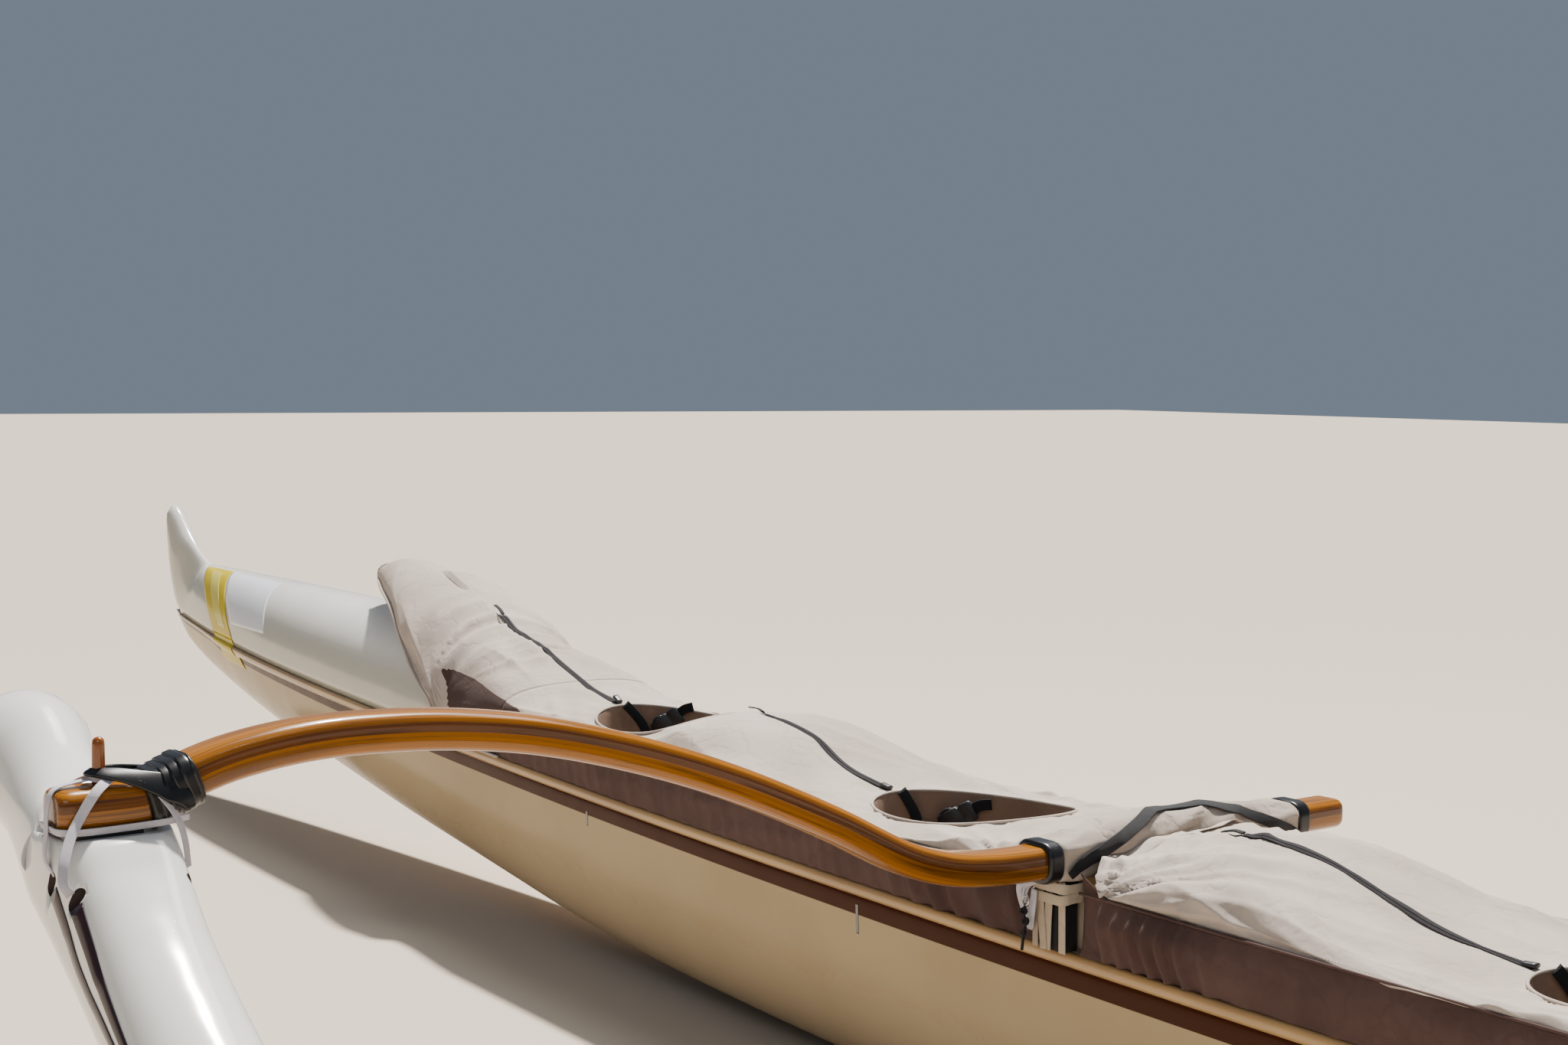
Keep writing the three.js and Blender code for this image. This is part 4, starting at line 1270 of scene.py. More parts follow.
def skirt(start, end, side):
    """Pleats are deep next to a boom, where the spare cloth is gathered, and shallow elsewhere."""
    t = np.linspace(0, 1, SKIRT_ROWS)
    shape = np.sin(np.pi * np.clip(t * .8 + .14, 0, 1)) ** .7
    rows = []
    for x in np.linspace(start, end, int((end - start) / SKIRT_STEP) + 1):
        ends = min(abs(x - place) for place in (start, end) if abs(place) < BESIDE_BOOM)
        low, out = float(sheer(x)) + SEAT_UP, float(cover_half(x))
        high = float(seam(x)) + .034 * max(1 - ends / .075, 0) ** 1.2
        free = bounded((ends - FLAT_END) / .006)
        gathered = math.exp(-((ends - .2) / .16) ** 2)
        pleat = .5 + .5 * math.sin(x * PLEATS + 9 * float(field(x * 3.1, side + 2, 21)))
        pleat = pleat ** 1.8 * (.75 + .45 * float(field(x * 9, side + 8, 22)))
        depth = (DEEP_PLEAT * gathered + SHALLOW_PLEAT) * (pleat - .42) * shape
        roll = (.01 + .014 * gathered) * np.sin(np.pi * t ** 1.35)
        sag = .004 * field(x * 6 + t * 2, t * 3 + side * 3, 23) * np.sin(np.pi * t)
        move = (roll + depth + sag) * free - .01 * (1 - free) * np.sin(np.pi * t) ** .3
        rows.append(np.column_stack([
            np.full(SKIRT_ROWS, x), side * (out - .001 + move), low + (high - low) * t]))
    return np.array(rows)[:, ::side] + TO_HULL


for name, start, end in COVERS:
    for hand, side in SIDES:
        made = skin(f"skirt_{name}_{hand}", skirt(start, end, side), closed=False)
        turn_to(made, (0, side, 0))
        thicken(made, CLOTH)
        dress(made, skirt_cloth, "skirt", f"cover_skirt_{name}_{hand}")
print("skirts:", len(COVERS) * len(SIDES))

# %% Splash hood and apron
# Columns: distance from midship, half width, height of the free edge, ridge height, fullness.
# 0 stands for the cover's own value, or for the gunwale under the free edge.
HOOD_LINES = [
    (3.76, 0, 0, 0, 5.2), (3.94, 0, 0, 0, 2.7), (4.11, 0, 0, .765, 2.2), (4.145, .25, .58, .779, 2.1),
    (4.21, .248, .622, .806, 2), (4.28, .241, .664, .834, 1.95), (4.4, .214, .738, .868, 1.9),
    (4.54, .172, .8, .902, 2), (4.725, .114, .842, .916, 2.2), (4.895, .036, .862, .892, 2.2),
]
APRON_LINES = [
    (3.76, 0, 0, 0, 5.2), (3.95, 0, 0, .732, 2.7), (4.15, 0, 0, .783, 2.2), (4.35, 0, 0, .808, 2.2),
    (4.55, 0, 0, .808, 2.2), (4.72, 0, 0, .784, 2.2),
]
END_PROUD = .003
END_STEP, END_POINTS = .01, 129
JOINT_BLEND = .1  # over this length an end takes on the form of the top beside it
CENTRE_X, CENTRE_Z = 4.12, .6  # the hood's folds fan out from here


def end_table(lines):
    return [(
        x, half or float(cover_half(x)) + END_PROUD, edge or float(sheer(x)) + SEAT_UP,
        top or float(ridge(x)), full or float(fullness(x))) for x, half, edge, top, full in lines]


def end_rows(lines, way, wrinkle):
    """The plain form of an end, drawn to the top's own form at their joint, and the same with wrinkles."""
    table = end_table(lines)
    first, last = table[0][0], table[-1][0]
    rows = []
    for x in np.linspace(first, last, int((last - first) / END_STEP) + 1):
        half, edge, top, full = (float(smooth(table, c, x)) for c in range(1, 5))
        row = arch(x, half, edge, top, full, END_POINTS)
        row[:, 0] *= way
        rows.append(row)
    rows = np.array(rows)
    x, y, z = (rows[..., k] for k in range(3))
    above = (z > seam(x)) & (np.abs(y) < cover_half(x))
    near = np.clip(1 - (np.abs(x) - HOOD_START) / JOINT_BLEND, 0, 1) ** 1.5 * above
    rows[..., 2] = z + (cover_height(x, y) - z) * near
    share = np.broadcast_to(np.linspace(0, 1, rows.shape[1]), rows.shape[:2])
    return rows, rows + outward(rows) * wrinkle(rows, share)[..., None]


def hood_wrinkles(rows, share):
    x, y, z = (rows[..., k] for k in range(3))
    lean = np.where(y > 0, 1, -1)
    turn = np.arctan2(z - CENTRE_Z, x - CENTRE_X)
    fan = folds(turn * 5.5 + lean * 3, np.hypot(x - CENTRE_X, z - CENTRE_Z) * 2, 31) * .009
    slant = folds(x * 4 + lean * z * 6, z * 2.5 + lean * 7, 32) * .006
    drawn = folds(y * 15 + x * 1.5, x * 1.6, 34) * .01 * np.exp(-((np.abs(x) - 3.95) / .16) ** 2)
    moved = np.maximum(fan + slant + drawn + field(x * 3, z * 5, 33) * .004, -.011)
    edge = 1 - np.abs(2 * share - 1)
    held = np.clip(edge / .05, 0, 1) * joint(x)
    calm = .12 + .88 * panel_share(rows)[1]
    return moved * held * calm - UNDER_FOLDS


ends = {}
# Columns: name, table of its form, 1 forward and -1 aft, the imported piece
ENDS = [("hood", HOOD_LINES, 1, "splash_hood"), ("apron", APRON_LINES, -1, "cover_apron")]
for name, lines, way, packed in ENDS:
    plain, rows = end_rows(lines, way, hood_wrinkles)
    ends[name] = sheet_object(name, rows, values={"panel": panel_share(plain)[0]})
    dress(ends[name], hood_canvas, "canvas", packed)
hood, apron = ends["hood"], ends["apron"]
print("hood:", len(hood.data.polygons), "faces; apron:", len(apron.data.polygons))

# %% Seat hole collars
COLLAR_DROP = .12
COLLAR_TUCK = .001  # how far its upper edge lies below the canvas
COLLAR_THICK = .0014
RIM = .0032  # radius of the canvas roll round a seat hole


def rim_at(cx, a, up):
    """The rim of a seat hole at angles round it, a little up or down, from the hull's centreline."""
    x, y = HOLE_HALF_LENGTH * np.cos(a), HOLE_HALF_WIDTH * np.sin(a)
    return x, y, cover_height(cx + x, y) + up


def collar(name, cx):
    a = ring_angles(120)
    rows = []
    for depth in np.linspace(0, 1, 20):
        up = -COLLAR_TUCK - COLLAR_DROP * depth
        inset = .0014 + .0165 * depth ** .7
        deep = -up / COLLAR_DROP
        ripple = 1 - .03 * deep * np.sin(a * 7 + 5 * field(a * 1.2, cx, 41)) * np.sin(a / 2) ** 2
        x = (HOLE_HALF_LENGTH - inset) * np.cos(a) * ripple
        y = (HOLE_HALF_WIDTH - inset) * np.sin(a) * ripple
        rows.append(np.column_stack([cx + x, y + HULL_Y, rim_at(cx, a, up)[2]]))
    made = skin(name, rows, ring=True, closed=False)
    thicken(made, COLLAR_THICK)
    return made


def hole_roll(name, cx):
    x, y, z = rim_at(cx, np.linspace(0, 2 * math.pi, 97), -.0015)
    return tube(name, np.column_stack([cx + x, y + HULL_Y, z]), RIM, .01, 8, closed=True)


for name, cx in SEATS:
    dress(collar(f"{name}_hole_collar", cx), collar_cloth, "collar", f"{name}_collar")
print("collars:", len(SEATS))

# %% Sleeves, bands and wraps
SLEEVE_STARBOARD = -.335
SLEEVE_PORT = .3
BAND_WIDTH = .034
WRAP_START, WRAP_END = 1.902, 1.972
WRAP_TURN = .0125  # width of one turn of the rubber strip


def wound(name, x, start, end, extra, step, shape, per_corner=5):
    """A skin round the boom from start to end. shape gives each point's own extra height."""
    ys = np.linspace(start, end, max(int((end - start) / step), 2) + 1)
    rows = []
    for i, y in enumerate(ys):
        ring, _ = boom_ring(x, y, extra, 1.0, per_corner)
        core, _ = boom_ring(x, y, 0.0, 1.0, per_corner)
        out = ring - core
        out /= np.linalg.norm(out, axis=1, keepdims=True)
        around = np.arange(len(ring)) / len(ring)
        rows.append(ring + out * shape(y, around, min(y - start, end - y))[:, None])
    first, last = (boom_ring(x, y, .0004, 1.0, per_corner)[0] for y in (start, end))
    return skin(name, [first, *rows, last], ring=True)


def padded_shape(y, around, end):
    """Bundled cloth: long twisted folds, and a thicker roll on top over the middle of the hull."""
    turn = np.sin(2 * math.pi * around)
    wave = folds(y * 9 + 2.2 * turn, around * 6 + 3, 51) * .0055
    fine = folds(y * 26 - 3.0 * turn, around * 10, 52) * .0022
    top = np.exp(-((around - .25) / .16) ** 2)
    roll = .02 * top * math.exp(-(y / .2) ** 4)
    close = math.exp(-max(end, 0) / .02)
    return (wave + fine) * (1 - .7 * close) + roll - .004 * close


def band_shape(y, around, end):
    return np.full(len(around), .0035 * min(end / .005, 1) ** .5 - .003)


def wrap_shape(y, around, end):
    """Turns of rubber strip, each lapped over the last."""
    turn = ((y - WRAP_START) / WRAP_TURN - around + .15 * np.sin(2 * math.pi * around)) % 1
    return .003 * turn ** .5 + .0045 * min(end / .005, 1) ** .5 - .005


for name, x in IAKOS:
    sleeve = wound(f"sleeve_{name}", x, SLEEVE_STARBOARD, SLEEVE_PORT, .01, .009, padded_shape, 10)
    dress(sleeve, sleeve_canvas, "sleeve", f"iako_{name}_sleeve")
    starts = (SLEEVE_PORT + SEAT_UP, SLEEVE_STARBOARD - SEAT_UP - BAND_WIDTH)
    for (hand, _), start in zip(SIDES, starts):
        ring = wound(f"band_{name}_{hand}", x, start, start + BAND_WIDTH, .009, .002, band_shape)
        dress(ring, rubber, "rubber", f"iako_{name}_band_{hand}")
    wrap = wound(f"wrap_{name}", x, WRAP_START, WRAP_END, .007, .001, wrap_shape, 9)
    dress(wrap, rubber, "rubber", f"iako_{name}_wrap")
print("sleeves, bands and wraps on both booms")

# %% [markdown]
# ## Flat straps, tubes and what lies on a surface
# Webbing, tape, bindings and stripes all follow a path. A smooth curve through a few given
# points gives the middle line, a direction at each point says which way the flat side faces, and
# a thin rounded section is swept along. Where a piece lies on another, rays find that surface first.

# %% Path helpers
def along_curve(points, step):
    """Places about step apart on a smooth curve through the points."""
    points = np.asarray(points, float)
    run = lengths_along(points[:, :3])
    table = np.column_stack([run, points])
    at = np.linspace(0, run[-1], max(int(run[-1] / step), 2) + 1)
    return np.column_stack([smooth(table, c + 1, at) for c in range(points.shape[1])])


def unit(vectors):
    return vectors / (np.linalg.norm(vectors, axis=-1, keepdims=True) + 1e-12)


def band(name, points, facing, width, thick, step=.006, taper=None):
    """A flat strap along the points. facing is the way its flat side looks, one for all or one each."""
    points = np.asarray(points, float)
    facing = np.broadcast_to(np.asarray(facing, float), points.shape)
    both = along_curve(np.hstack([points, facing]), step)
    line, up = both[:, :3], unit(both[:, 3:])
    tangent = unit(np.gradient(line, axis=0))
    across = unit(np.cross(tangent, up))
    up = unit(np.cross(across, tangent))
    share = np.linspace(0, 1, len(line))
    widths = width * (np.ones(len(line)) if taper is None else np.interp(share, *taper))
    rows = []
    for i in range(len(line)):
        outline = round_box(widths[i], thick, min(thick * .45, widths[i] * .3), 3)
        rows.append(line[i] + outline[:, :1] * across[i] + outline[:, 1:] * up[i])
    return skin(name, rows, ring=True, caps=True)


def tube(name, points, radius, step=.008, sides=10, closed=False):
    line = along_curve(points, step)
    if closed:
        line = line[:-1]
    tangent = unit(np.gradient(np.vstack([line[-1:], line, line[:1]]) if closed else line, axis=0))
    tangent = tangent[1:-1] if closed else tangent
    side = unit(np.cross(tangent, [.13, .21, .97]))
    other = np.cross(side, tangent)
    a = ring_angles(sides)
    circle = np.cos(a)[None, :, None] * side[:, None] + np.sin(a)[None, :, None] * other[:, None]
    rows = line[:, None] + radius * circle
    if closed:
        rows = np.vstack([rows, rows[:1]])
    return skin(name, rows, ring=True, caps=not closed)


def surface_of(*objects):
    """A tree to cast rays on, of the surfaces of several pieces."""
    points, faces = [], []
    for obj in objects:
        start = len(points)
        points += [v.co.copy() for v in obj.data.vertices]
        faces += [[start + i for i in p.vertices] for p in obj.data.polygons]
    return BVHTree.FromPolygons(points, faces)


def cast(surface, start, way):
    at, normal, _, _ = surface.ray_cast(Vector(start), Vector(way))
    return (np.array(at), np.array(normal)) if at is not None else (None, None)


def laid(surface, starts, way, lift):
    """Points sent on to a surface one way, and the surface's normals there, which face back. A ray that
    slips through between two pieces is tried again a little lower and higher."""
    places, normals = [], []
    for start in starts:
        for nudge in (0, -.0015, .0015):
            at, normal = cast(surface, np.add(start, (0, 0, nudge)), way)
            if at is not None:
                break
        normal = normal if normal @ way < 0 else -normal
        places.append(at + normal * lift)
        normals.append(normal)
    return np.array(places), np.array(normals)


def fallen(surface, points, lift):
    """Points, as x and y, dropped on a surface from above."""
    return laid(surface, [(x, y, 3.0) for x, y in points], (0, 0, -1), lift)


def pressed(surface, points, y, side, lift):
    """Points, as x and height, pressed towards y on a surface from port (side 1) or starboard (side -1)."""
    return laid(surface, [(x, y + side, z) for x, z in points], (0, -side, 0), lift)


def settled(surface, points, centre, lift):
    """Points moved to the nearest place on a surface, then lifted away from centre."""
    places = []
    for point in points:
        at, normal, _, _ = surface.find_nearest(Vector(point))
        at, normal = np.array(at), np.array(normal)
        away = at - np.array([at[0], *centre])
        places.append(at + (normal if normal @ away > 0 else -normal) * lift)
    return np.array(places)


print("path helpers ready")

# %% [markdown]
# ## Stitches and zip teeth
# A seam has hundreds of equal stitches and a zip hundreds of teeth, so one small shape is set
# at equal steps along a path with Geometry Nodes. The tree turns each copy to lie along the path
# and ends in real geometry, because instances would be lost when the model is exported.

# %% A tree that sets one small shape along a path
STITCH = (.0034, .0011, .001)  # length, width and height of one stitch
TOOTH = (.0013, .0052, .0016)

row_tree = bpy.data.node_groups.new("row along a path", "GeometryNodeTree")
for label, kind, value in (
        ("Path", "NodeSocketGeometry", None), ("Step", NUMBER, .006), ("Length", NUMBER, .004),
        ("Width", NUMBER, .001), ("Height", NUMBER, .001), ("Finish", "NodeSocketMaterial", None)):
    socket = row_tree.interface.new_socket(name=label, in_out="INPUT", socket_type=kind)
    if value is not None:
        socket.default_value = value
row_tree.interface.new_socket(name="Row", in_out="OUTPUT", socket_type="NodeSocketGeometry")
given, out = row_tree.nodes.new("NodeGroupInput").outputs, row_tree.nodes.new("NodeGroupOutput").inputs
spaced = node(row_tree, "GeometryNodeResampleCurve", mode="LENGTH")
shape = node(row_tree, "GeometryNodeMeshIcoSphere")
shape.inputs["Radius"].default_value = .5
size = node(row_tree, "ShaderNodeCombineXYZ")
tangent = node(row_tree, "GeometryNodeInputTangent")
along = node(row_tree, "FunctionNodeAlignEulerToVector", axis="X")
upright = node(row_tree, "FunctionNodeAlignEulerToVector", axis="Z", pivot_axis="X")
upright.inputs["Vector"].default_value = (0, 0, 1)
copies = node(row_tree, "GeometryNodeInstanceOnPoints")
real = node(row_tree, "GeometryNodeRealizeInstances")
finished = node(row_tree, "GeometryNodeSetMaterial")
for source, target in (
        (given["Path"], spaced.inputs["Curve"]), (given["Step"], spaced.inputs["Length"]),
        (given["Length"], size.inputs[0]), (given["Width"], size.inputs[1]),
        (given["Height"], size.inputs[2]), (spaced.outputs[0], copies.inputs["Points"]),
        (shape.outputs[0], copies.inputs["Instance"]), (tangent.outputs[0], along.inputs["Vector"]),
        (along.outputs[0], upright.inputs["Rotation"]), (upright.outputs[0], copies.inputs["Rotation"]),
        (size.outputs[0], copies.inputs["Scale"]), (copies.outputs[0], real.inputs[0]),
        (real.outputs[0], finished.inputs["Geometry"]), (given["Finish"], finished.inputs["Material"]),
        (finished.outputs[0], out[0])):
    row_tree.links.new(source, target)


def row_along(name, paths, step, size, material, slot):
    """Small copies set along several paths, as one plain mesh."""
    data = bpy.data.curves.new(name, "CURVE")
    data.dimensions = "3D"
    for path in paths:
        spline = data.splines.new("POLY")
        spline.points.add(len(path) - 1)
        four = np.column_stack([path, np.ones(len(path))])
        spline.points.foreach_set("co", four.astype(np.float32).ravel())
    carrier = link(bpy.data.objects.new(name + "_path", data))
    maker = carrier.modifiers.new("row", "NODES")
    maker.node_group = row_tree
    values = {"Step": step, "Length": size[0], "Width": size[1], "Height": size[2], "Finish": material}
    for item in row_tree.interface.items_tree:
        if item.in_out == "INPUT" and item.name in values:
            maker[item.identifier] = values[item.name]
    graph = bpy.context.evaluated_depsgraph_get()
    mesh = bpy.data.meshes.new_from_object(carrier.evaluated_get(graph))
    for polygon in mesh.polygons:
        polygon.use_smooth = True
    bpy.data.objects.remove(carrier)
    made = link(bpy.data.objects.new(name, mesh))
    return dress(made, material, slot)


thread = cloth("thread", ((.62, .57, .5, 1), (.5, .45, .38, 1)), .6, 900.0, .0001, .0002)
dark_thread = cloth(
    "dark_thread", ((.03, .02, .016, 1), (.018, .012, .01, 1)), .6, 900.0, .0001, .0002)
print("inputs of the tree:", [item.name for item in row_tree.interface.items_tree if item.in_out == "INPUT"])

# %% [markdown]
# ## Seams, bindings and zips
# The canvas is sewn to the skirt with a dark piping in the seam and a row of stitches above it.
# Forward of each seat hole a zip runs along the ridge, so that a paddler can get out. Its tape
# follows the canvas by falling on it from above, a hair higher at each step.

# %% Seams along the skirts
def seam_point(x, side, distance):
    """A place on the canvas a little way up from its seam."""
    row = arch(x, float(cover_half(x)), float(seam(x)), float(ridge(x)), float(fullness(x)), 181)[:91]
    run = lengths_along(row)
    y, z = (float(np.interp(distance, run, row[:, k])) for k in (1, 2))
    return x, HULL_Y - side * y, z


seam_rows = []
for name, start, end in COVERS:
    surface = surface_of(tops[name])
    for hand, side in SIDES:
        xs = np.linspace(start, end, int((end - start) / .03))
        line = np.column_stack([xs, HULL_Y + side * (cover_half(xs) + .001), seam(xs) - .001])
        piping = tube(f"piping_{name}_{hand}", line, .0028, .02, 8)
        dress(piping, skirt_cloth, "skirt")
        above = [seam_point(x, side, .01) for x in np.arange(start + .01, end - .01, .01)]
        seam_rows.append(settled(surface, above, (HULL_Y, .3), .0003))
row_along("seam_stitches", seam_rows, .0065, STITCH, thread, "canvas")
print("piping and stitches along", len(seam_rows), "seams")

# %% Zips
TAPE_WIDTH, TAPE_THICK = .019, .0012
STITCH_IN = .003  # how far stitches lie in from the edge of a tape or a hem
EASE_PASSES = 8  # rounds of smoothing that let the tape bridge small folds
MAY_SINK = .0006
# Columns: name, upper end, lower end at the seat hole
ZIPS = [
    ("seat_1_zip", 4.19, 3.575), ("seat_2_zip", 2.93, 2.465), ("seat_3_zip", 1.45, .845),
    ("seat_4_zip", .16, -.315), ("seat_5_zip", -2.93, -2.465), ("seat_6_zip", -4.1, -3.575),
]


def eased(heights):
    """Heights along a tape smoothed between its two ends, which keep theirs."""
    made = heights.copy()
    for _ in range(EASE_PASSES):
        smoothed = (made[:-2] + 2 * made[1:-1] + made[2:]) / 4
        made[1:-1] = np.maximum(smoothed, heights[1:-1] - MAY_SINK)
    return made


everything = surface_of(hood, apron, *tops.values())
tooth_paths, tape_stitches = [], []
for number, (name, start, end) in enumerate(ZIPS):
    xs = np.linspace(start, end, int(abs(start - end) / .012))
    ys = HULL_Y + .006 * field(xs * 4, number, 61)
    at, normals = fallen(everything, zip(xs, ys), TAPE_THICK)
    for shift in (-.4 * TAPE_WIDTH, .4 * TAPE_WIDTH):
        beside, _ = fallen(everything, zip(xs, ys + shift), TAPE_THICK)
        at[:, 2] = np.maximum(at[:, 2], beside[:, 2])
    at[:, 2] = eased(at[:, 2])
    dress(band(name, at, normals, TAPE_WIDTH, TAPE_THICK, .01), zip_tape, "canvas")
    tooth_paths.append(along_curve(at + normals * TAPE_THICK, .004))
    for side in (-1, 1):
        edge, _ = fallen(everything, zip(xs, ys + side * (TAPE_WIDTH / 2 - STITCH_IN)), 2 * TAPE_THICK)
        tape_stitches.append(along_curve(edge, .004))
    way = unit(at[0] - at[3])
    (top, up), (foot, foot_up) = (at[0], normals[0]), (at[-1], normals[-1])
    pull = [top + up * .003, top + way * .02 + up * .007, top + way * .05 + up * .004]
    dress(band(name + "_pull", pull, up, .012, .003), black_webbing, "canvas")
    slider = [foot + foot_up * .004 - way * .004, foot + foot_up * .006 + way * .022]
    dress(band(name + "_slider", slider, foot_up, .016, .008), black_plastic, "canvas")
row_along("zip_teeth", tooth_paths, .0026, TOOTH, black_plastic, "canvas")
row_along("zip_stitches", tape_stitches, .006, STITCH, dark_thread, "canvas")
print(len(ZIPS), "zips")

# %% Hems next to the booms, and the rolled edge of the hood
HEM_WIDTH = .024
hem_rows = []
for name, start, end in COVERS:
    grid, ups = grids[name] + TO_HULL, outward(grids[name])
    for place, k, end_name in ((start, 1, "aft"), (end, -2, "fore")):
        if abs(place) > BESIDE_BOOM:
            continue
        at, normals = (grid[k] + ups[k] * .0012)[2:-2:2], ups[k][2:-2:2]
        strip = band(f"hem_{name}_{end_name}", at, normals, HEM_WIDTH, .0016, .012)
        dress(strip, canvas, "canvas")
        for side in (-1, 1):
            hem_rows.append(at + normals * .0011 + np.array([side * (HEM_WIDTH / 2 - STITCH_IN), 0, 0]))
row_along("hem_stitches", hem_rows, .006, STITCH, thread, "canvas")
for name, lines, way, _ in ENDS:
    table = end_table(lines)
    last = table[-1][0]
    xs = np.linspace(table[0][0] + .01, last, 70)
    half, edge, top, full = (smooth(table, c, xs) for c in range(1, 5))
    port = np.column_stack([way * xs, HULL_Y + half - .001, edge])
    front = arch(way * last, half[-1], edge[-1], top[-1], full[-1], 15)[::-1] + TO_HULL
    starboard = np.column_stack([way * xs, HULL_Y - half + .001, edge])[::-1]
    rim = np.vstack([port, front[1:-1], starboard])
    dress(tube(f"{name}_binding", rim, .0042, .012), canvas, "canvas")
for name, cx in SEATS:
    dress(hole_roll(f"{name}_roll", cx), canvas, "canvas")
print("hems, bindings and", len(SEATS), "rolls round the holes")

# %% [markdown]
# ## Straps and buckles in the seat holes
# Each collar carries a webbing strap with a side-release buckle, thrown back against the collar's
# wall. Places are angles round the hole, 0 at its front and 90 to port, and depths below the rim,
# so one short table serves all six holes.

# %% A buckle
UP = np.array([0, 0, 1])
# Columns: place along the buckle, half width, half height
BUCKLE = [
    (-.044, .018, .005), (-.041, .023, .0075), (-.016, .0245, .0088), (.005, .0245, .0088),
    (.007, .02, .007), (.012, .02, .007), (.015, .0235, .008), (.036, .0225, .0068), (.04, .018, .005),
]
# Columns: place along the buckle, how far out from its side
PRONG = [(-.034, .0225), (-.021, .0285), (-.005, .0235)]


def on_collar(cx, angle, depth, lift):
    """A place on the collar's inner wall, and the way that faces into the hole."""
    a = math.radians(angle)
    inset = .008 + .012 * depth / COLLAR_DROP + lift
    x, y = (HOLE_HALF_LENGTH - inset) * math.cos(a), (HOLE_HALF_WIDTH - inset) * math.sin(a)
    inward = -np.array([math.cos(a) / HOLE_HALF_LENGTH, math.sin(a) / HOLE_HALF_WIDTH, 0])
    return np.array([cx + x, HULL_Y + y, float(rim_at(cx, a, -depth)[2])]), unit(inward)


def buckle(name, at, along, facing):
    """A side-release buckle: a body, a bar and a tapered tongue, with a prong along each side."""
    along, facing = unit(along), unit(facing)
    side = np.cross(facing, along)
    rows = []
    for place, wide, high in BUCKLE:
        section = round_box(2 * wide, 2 * high, high * .35, 4)
        rows.append(at + place * along + section[:, :1] * side + section[:, 1:] * facing)
    parts = [skin(name, rows, ring=True, caps=True)]
    for way in (-1, 1):
        prong = np.array([at + place * along + way * out * side for place, out in PRONG])
        parts.append(tube(f"{name}_prong", prong, .0032, .004, 8))
    return joined(name, parts)


print("a buckle is", round(BUCKLE[-1][0] - BUCKLE[0][0], 3), "m long")

# %% Straps and buckles
BELT_WIDTH, BELT_THICK = .024, .0022
# Columns: seat, angle of the strap at the rim and at its foot, angle of the buckle, depth of the
# buckle, how far it tips
BELTS = [
    ("seat_1", 0, -22, -38, .036, 40), ("seat_2", -2, -16, -44, .052, 32), ("seat_3", -6, -24, -40, .04, 34),
    ("seat_4", -2, -20, -46, .044, 30), ("seat_5", 3, -14, -36, .05, 26), ("seat_6", -8, -28, -50, .038, 38),
]
# Columns: share of the way from the rim's angle to the foot's, depth, how far off the wall
FALL = [(0, -.003, .0035), (.25, .014, .006), (.7, .05, .01), (1, .1, .013)]


def belt(name, points, facing):
    dress(band(name, points, facing, BELT_WIDTH, BELT_THICK), black_webbing, "webbing")


for (name, rim_angle, foot_angle, buckle_angle, depth, tip), (_, cx) in zip(BELTS, SEATS):
    drop = [on_collar(cx, rim_angle + (foot_angle - rim_angle) * share, d, lift) for share, d, lift in FALL]
    belt(f"{name}_strap", [p for p, _ in drop], [n for _, n in drop])
    at, inward = on_collar(cx, buckle_angle, depth, .016)
    level = unit(np.cross(UP, inward))
    lean = math.cos(math.radians(tip)) * level + math.sin(math.radians(tip)) * UP
    dress(buckle(f"{name}_buckle", at, lean, inward), black_plastic, "webbing")
    low, _ = on_collar(cx, foot_angle - 2, .095, .013)
    mid, _ = on_collar(cx, (foot_angle + buckle_angle) / 2 - 6, .08, .016)
    lead = [at - .07 * lean - .004 * inward, at - .042 * lean, at - .03 * lean]
    belt(f"{name}_belt", [low, mid, *lead], inward)
    tail = [at + .034 * lean, at + .056 * lean + .003 * inward, at + .085 * lean - .012 * UP]
    belt(f"{name}_tail", tail, inward)
print(len(BELTS), "belts")

# %% [markdown]
# ## Lashings at the gunwales
# The boom is pulled down on each gunwale with webbing. A column of tan turns runs between the boom
# and the moulding, with slack loops beside it that end in a ring and a knotted cord tail. A long
# black strap crosses over the padded sleeve from one gunwale to the other.

# %% Lashing columns
POST_OFFSET = .268
TAIL_THICK = .0028  # radius of a cord tail
tail_lines = {}


def torus(name, at, axis, radius, thick, sides=10, count=28):
    axis = unit(np.asarray(axis, float))
    first = unit(np.cross(axis, [.2, .3, .9]))
    second = np.cross(axis, first)
    a = np.linspace(0, 2 * math.pi, count + 1)
    line = np.asarray(at) + radius * (np.cos(a)[:, None] * first + np.sin(a)[:, None] * second)
    return tube(name, line, thick, 2 * math.pi * radius / count, sides, closed=True)


# Columns: place fore and aft, width, lean of the turn, how far it stands out
TURNS = [
    (-.0315, .017, .002, .0235), (.002, .018, -.003, .024), (.017, .017, .006, .0262),
    (.033, .014, -.003, .0235)]
# Columns: share of the column's height, lift, how much wider than the column's other turns
GIRTHS = [(.9, .002, 1.0), (.78, -.004, 1.03)]
# Columns: forward of the ring, out, up. Then the knots: which point of the tail, size
CORD_TAIL = [
    (0, 0, -.006), (.003, .002, -.022), (-.002, .002, -.04), (.001, .003, -.062), (.004, .004, -.092)]
KNOTS = [(1, .0048), (2, .0055), (3, .0044)]
WEBBING_THICK = .0026


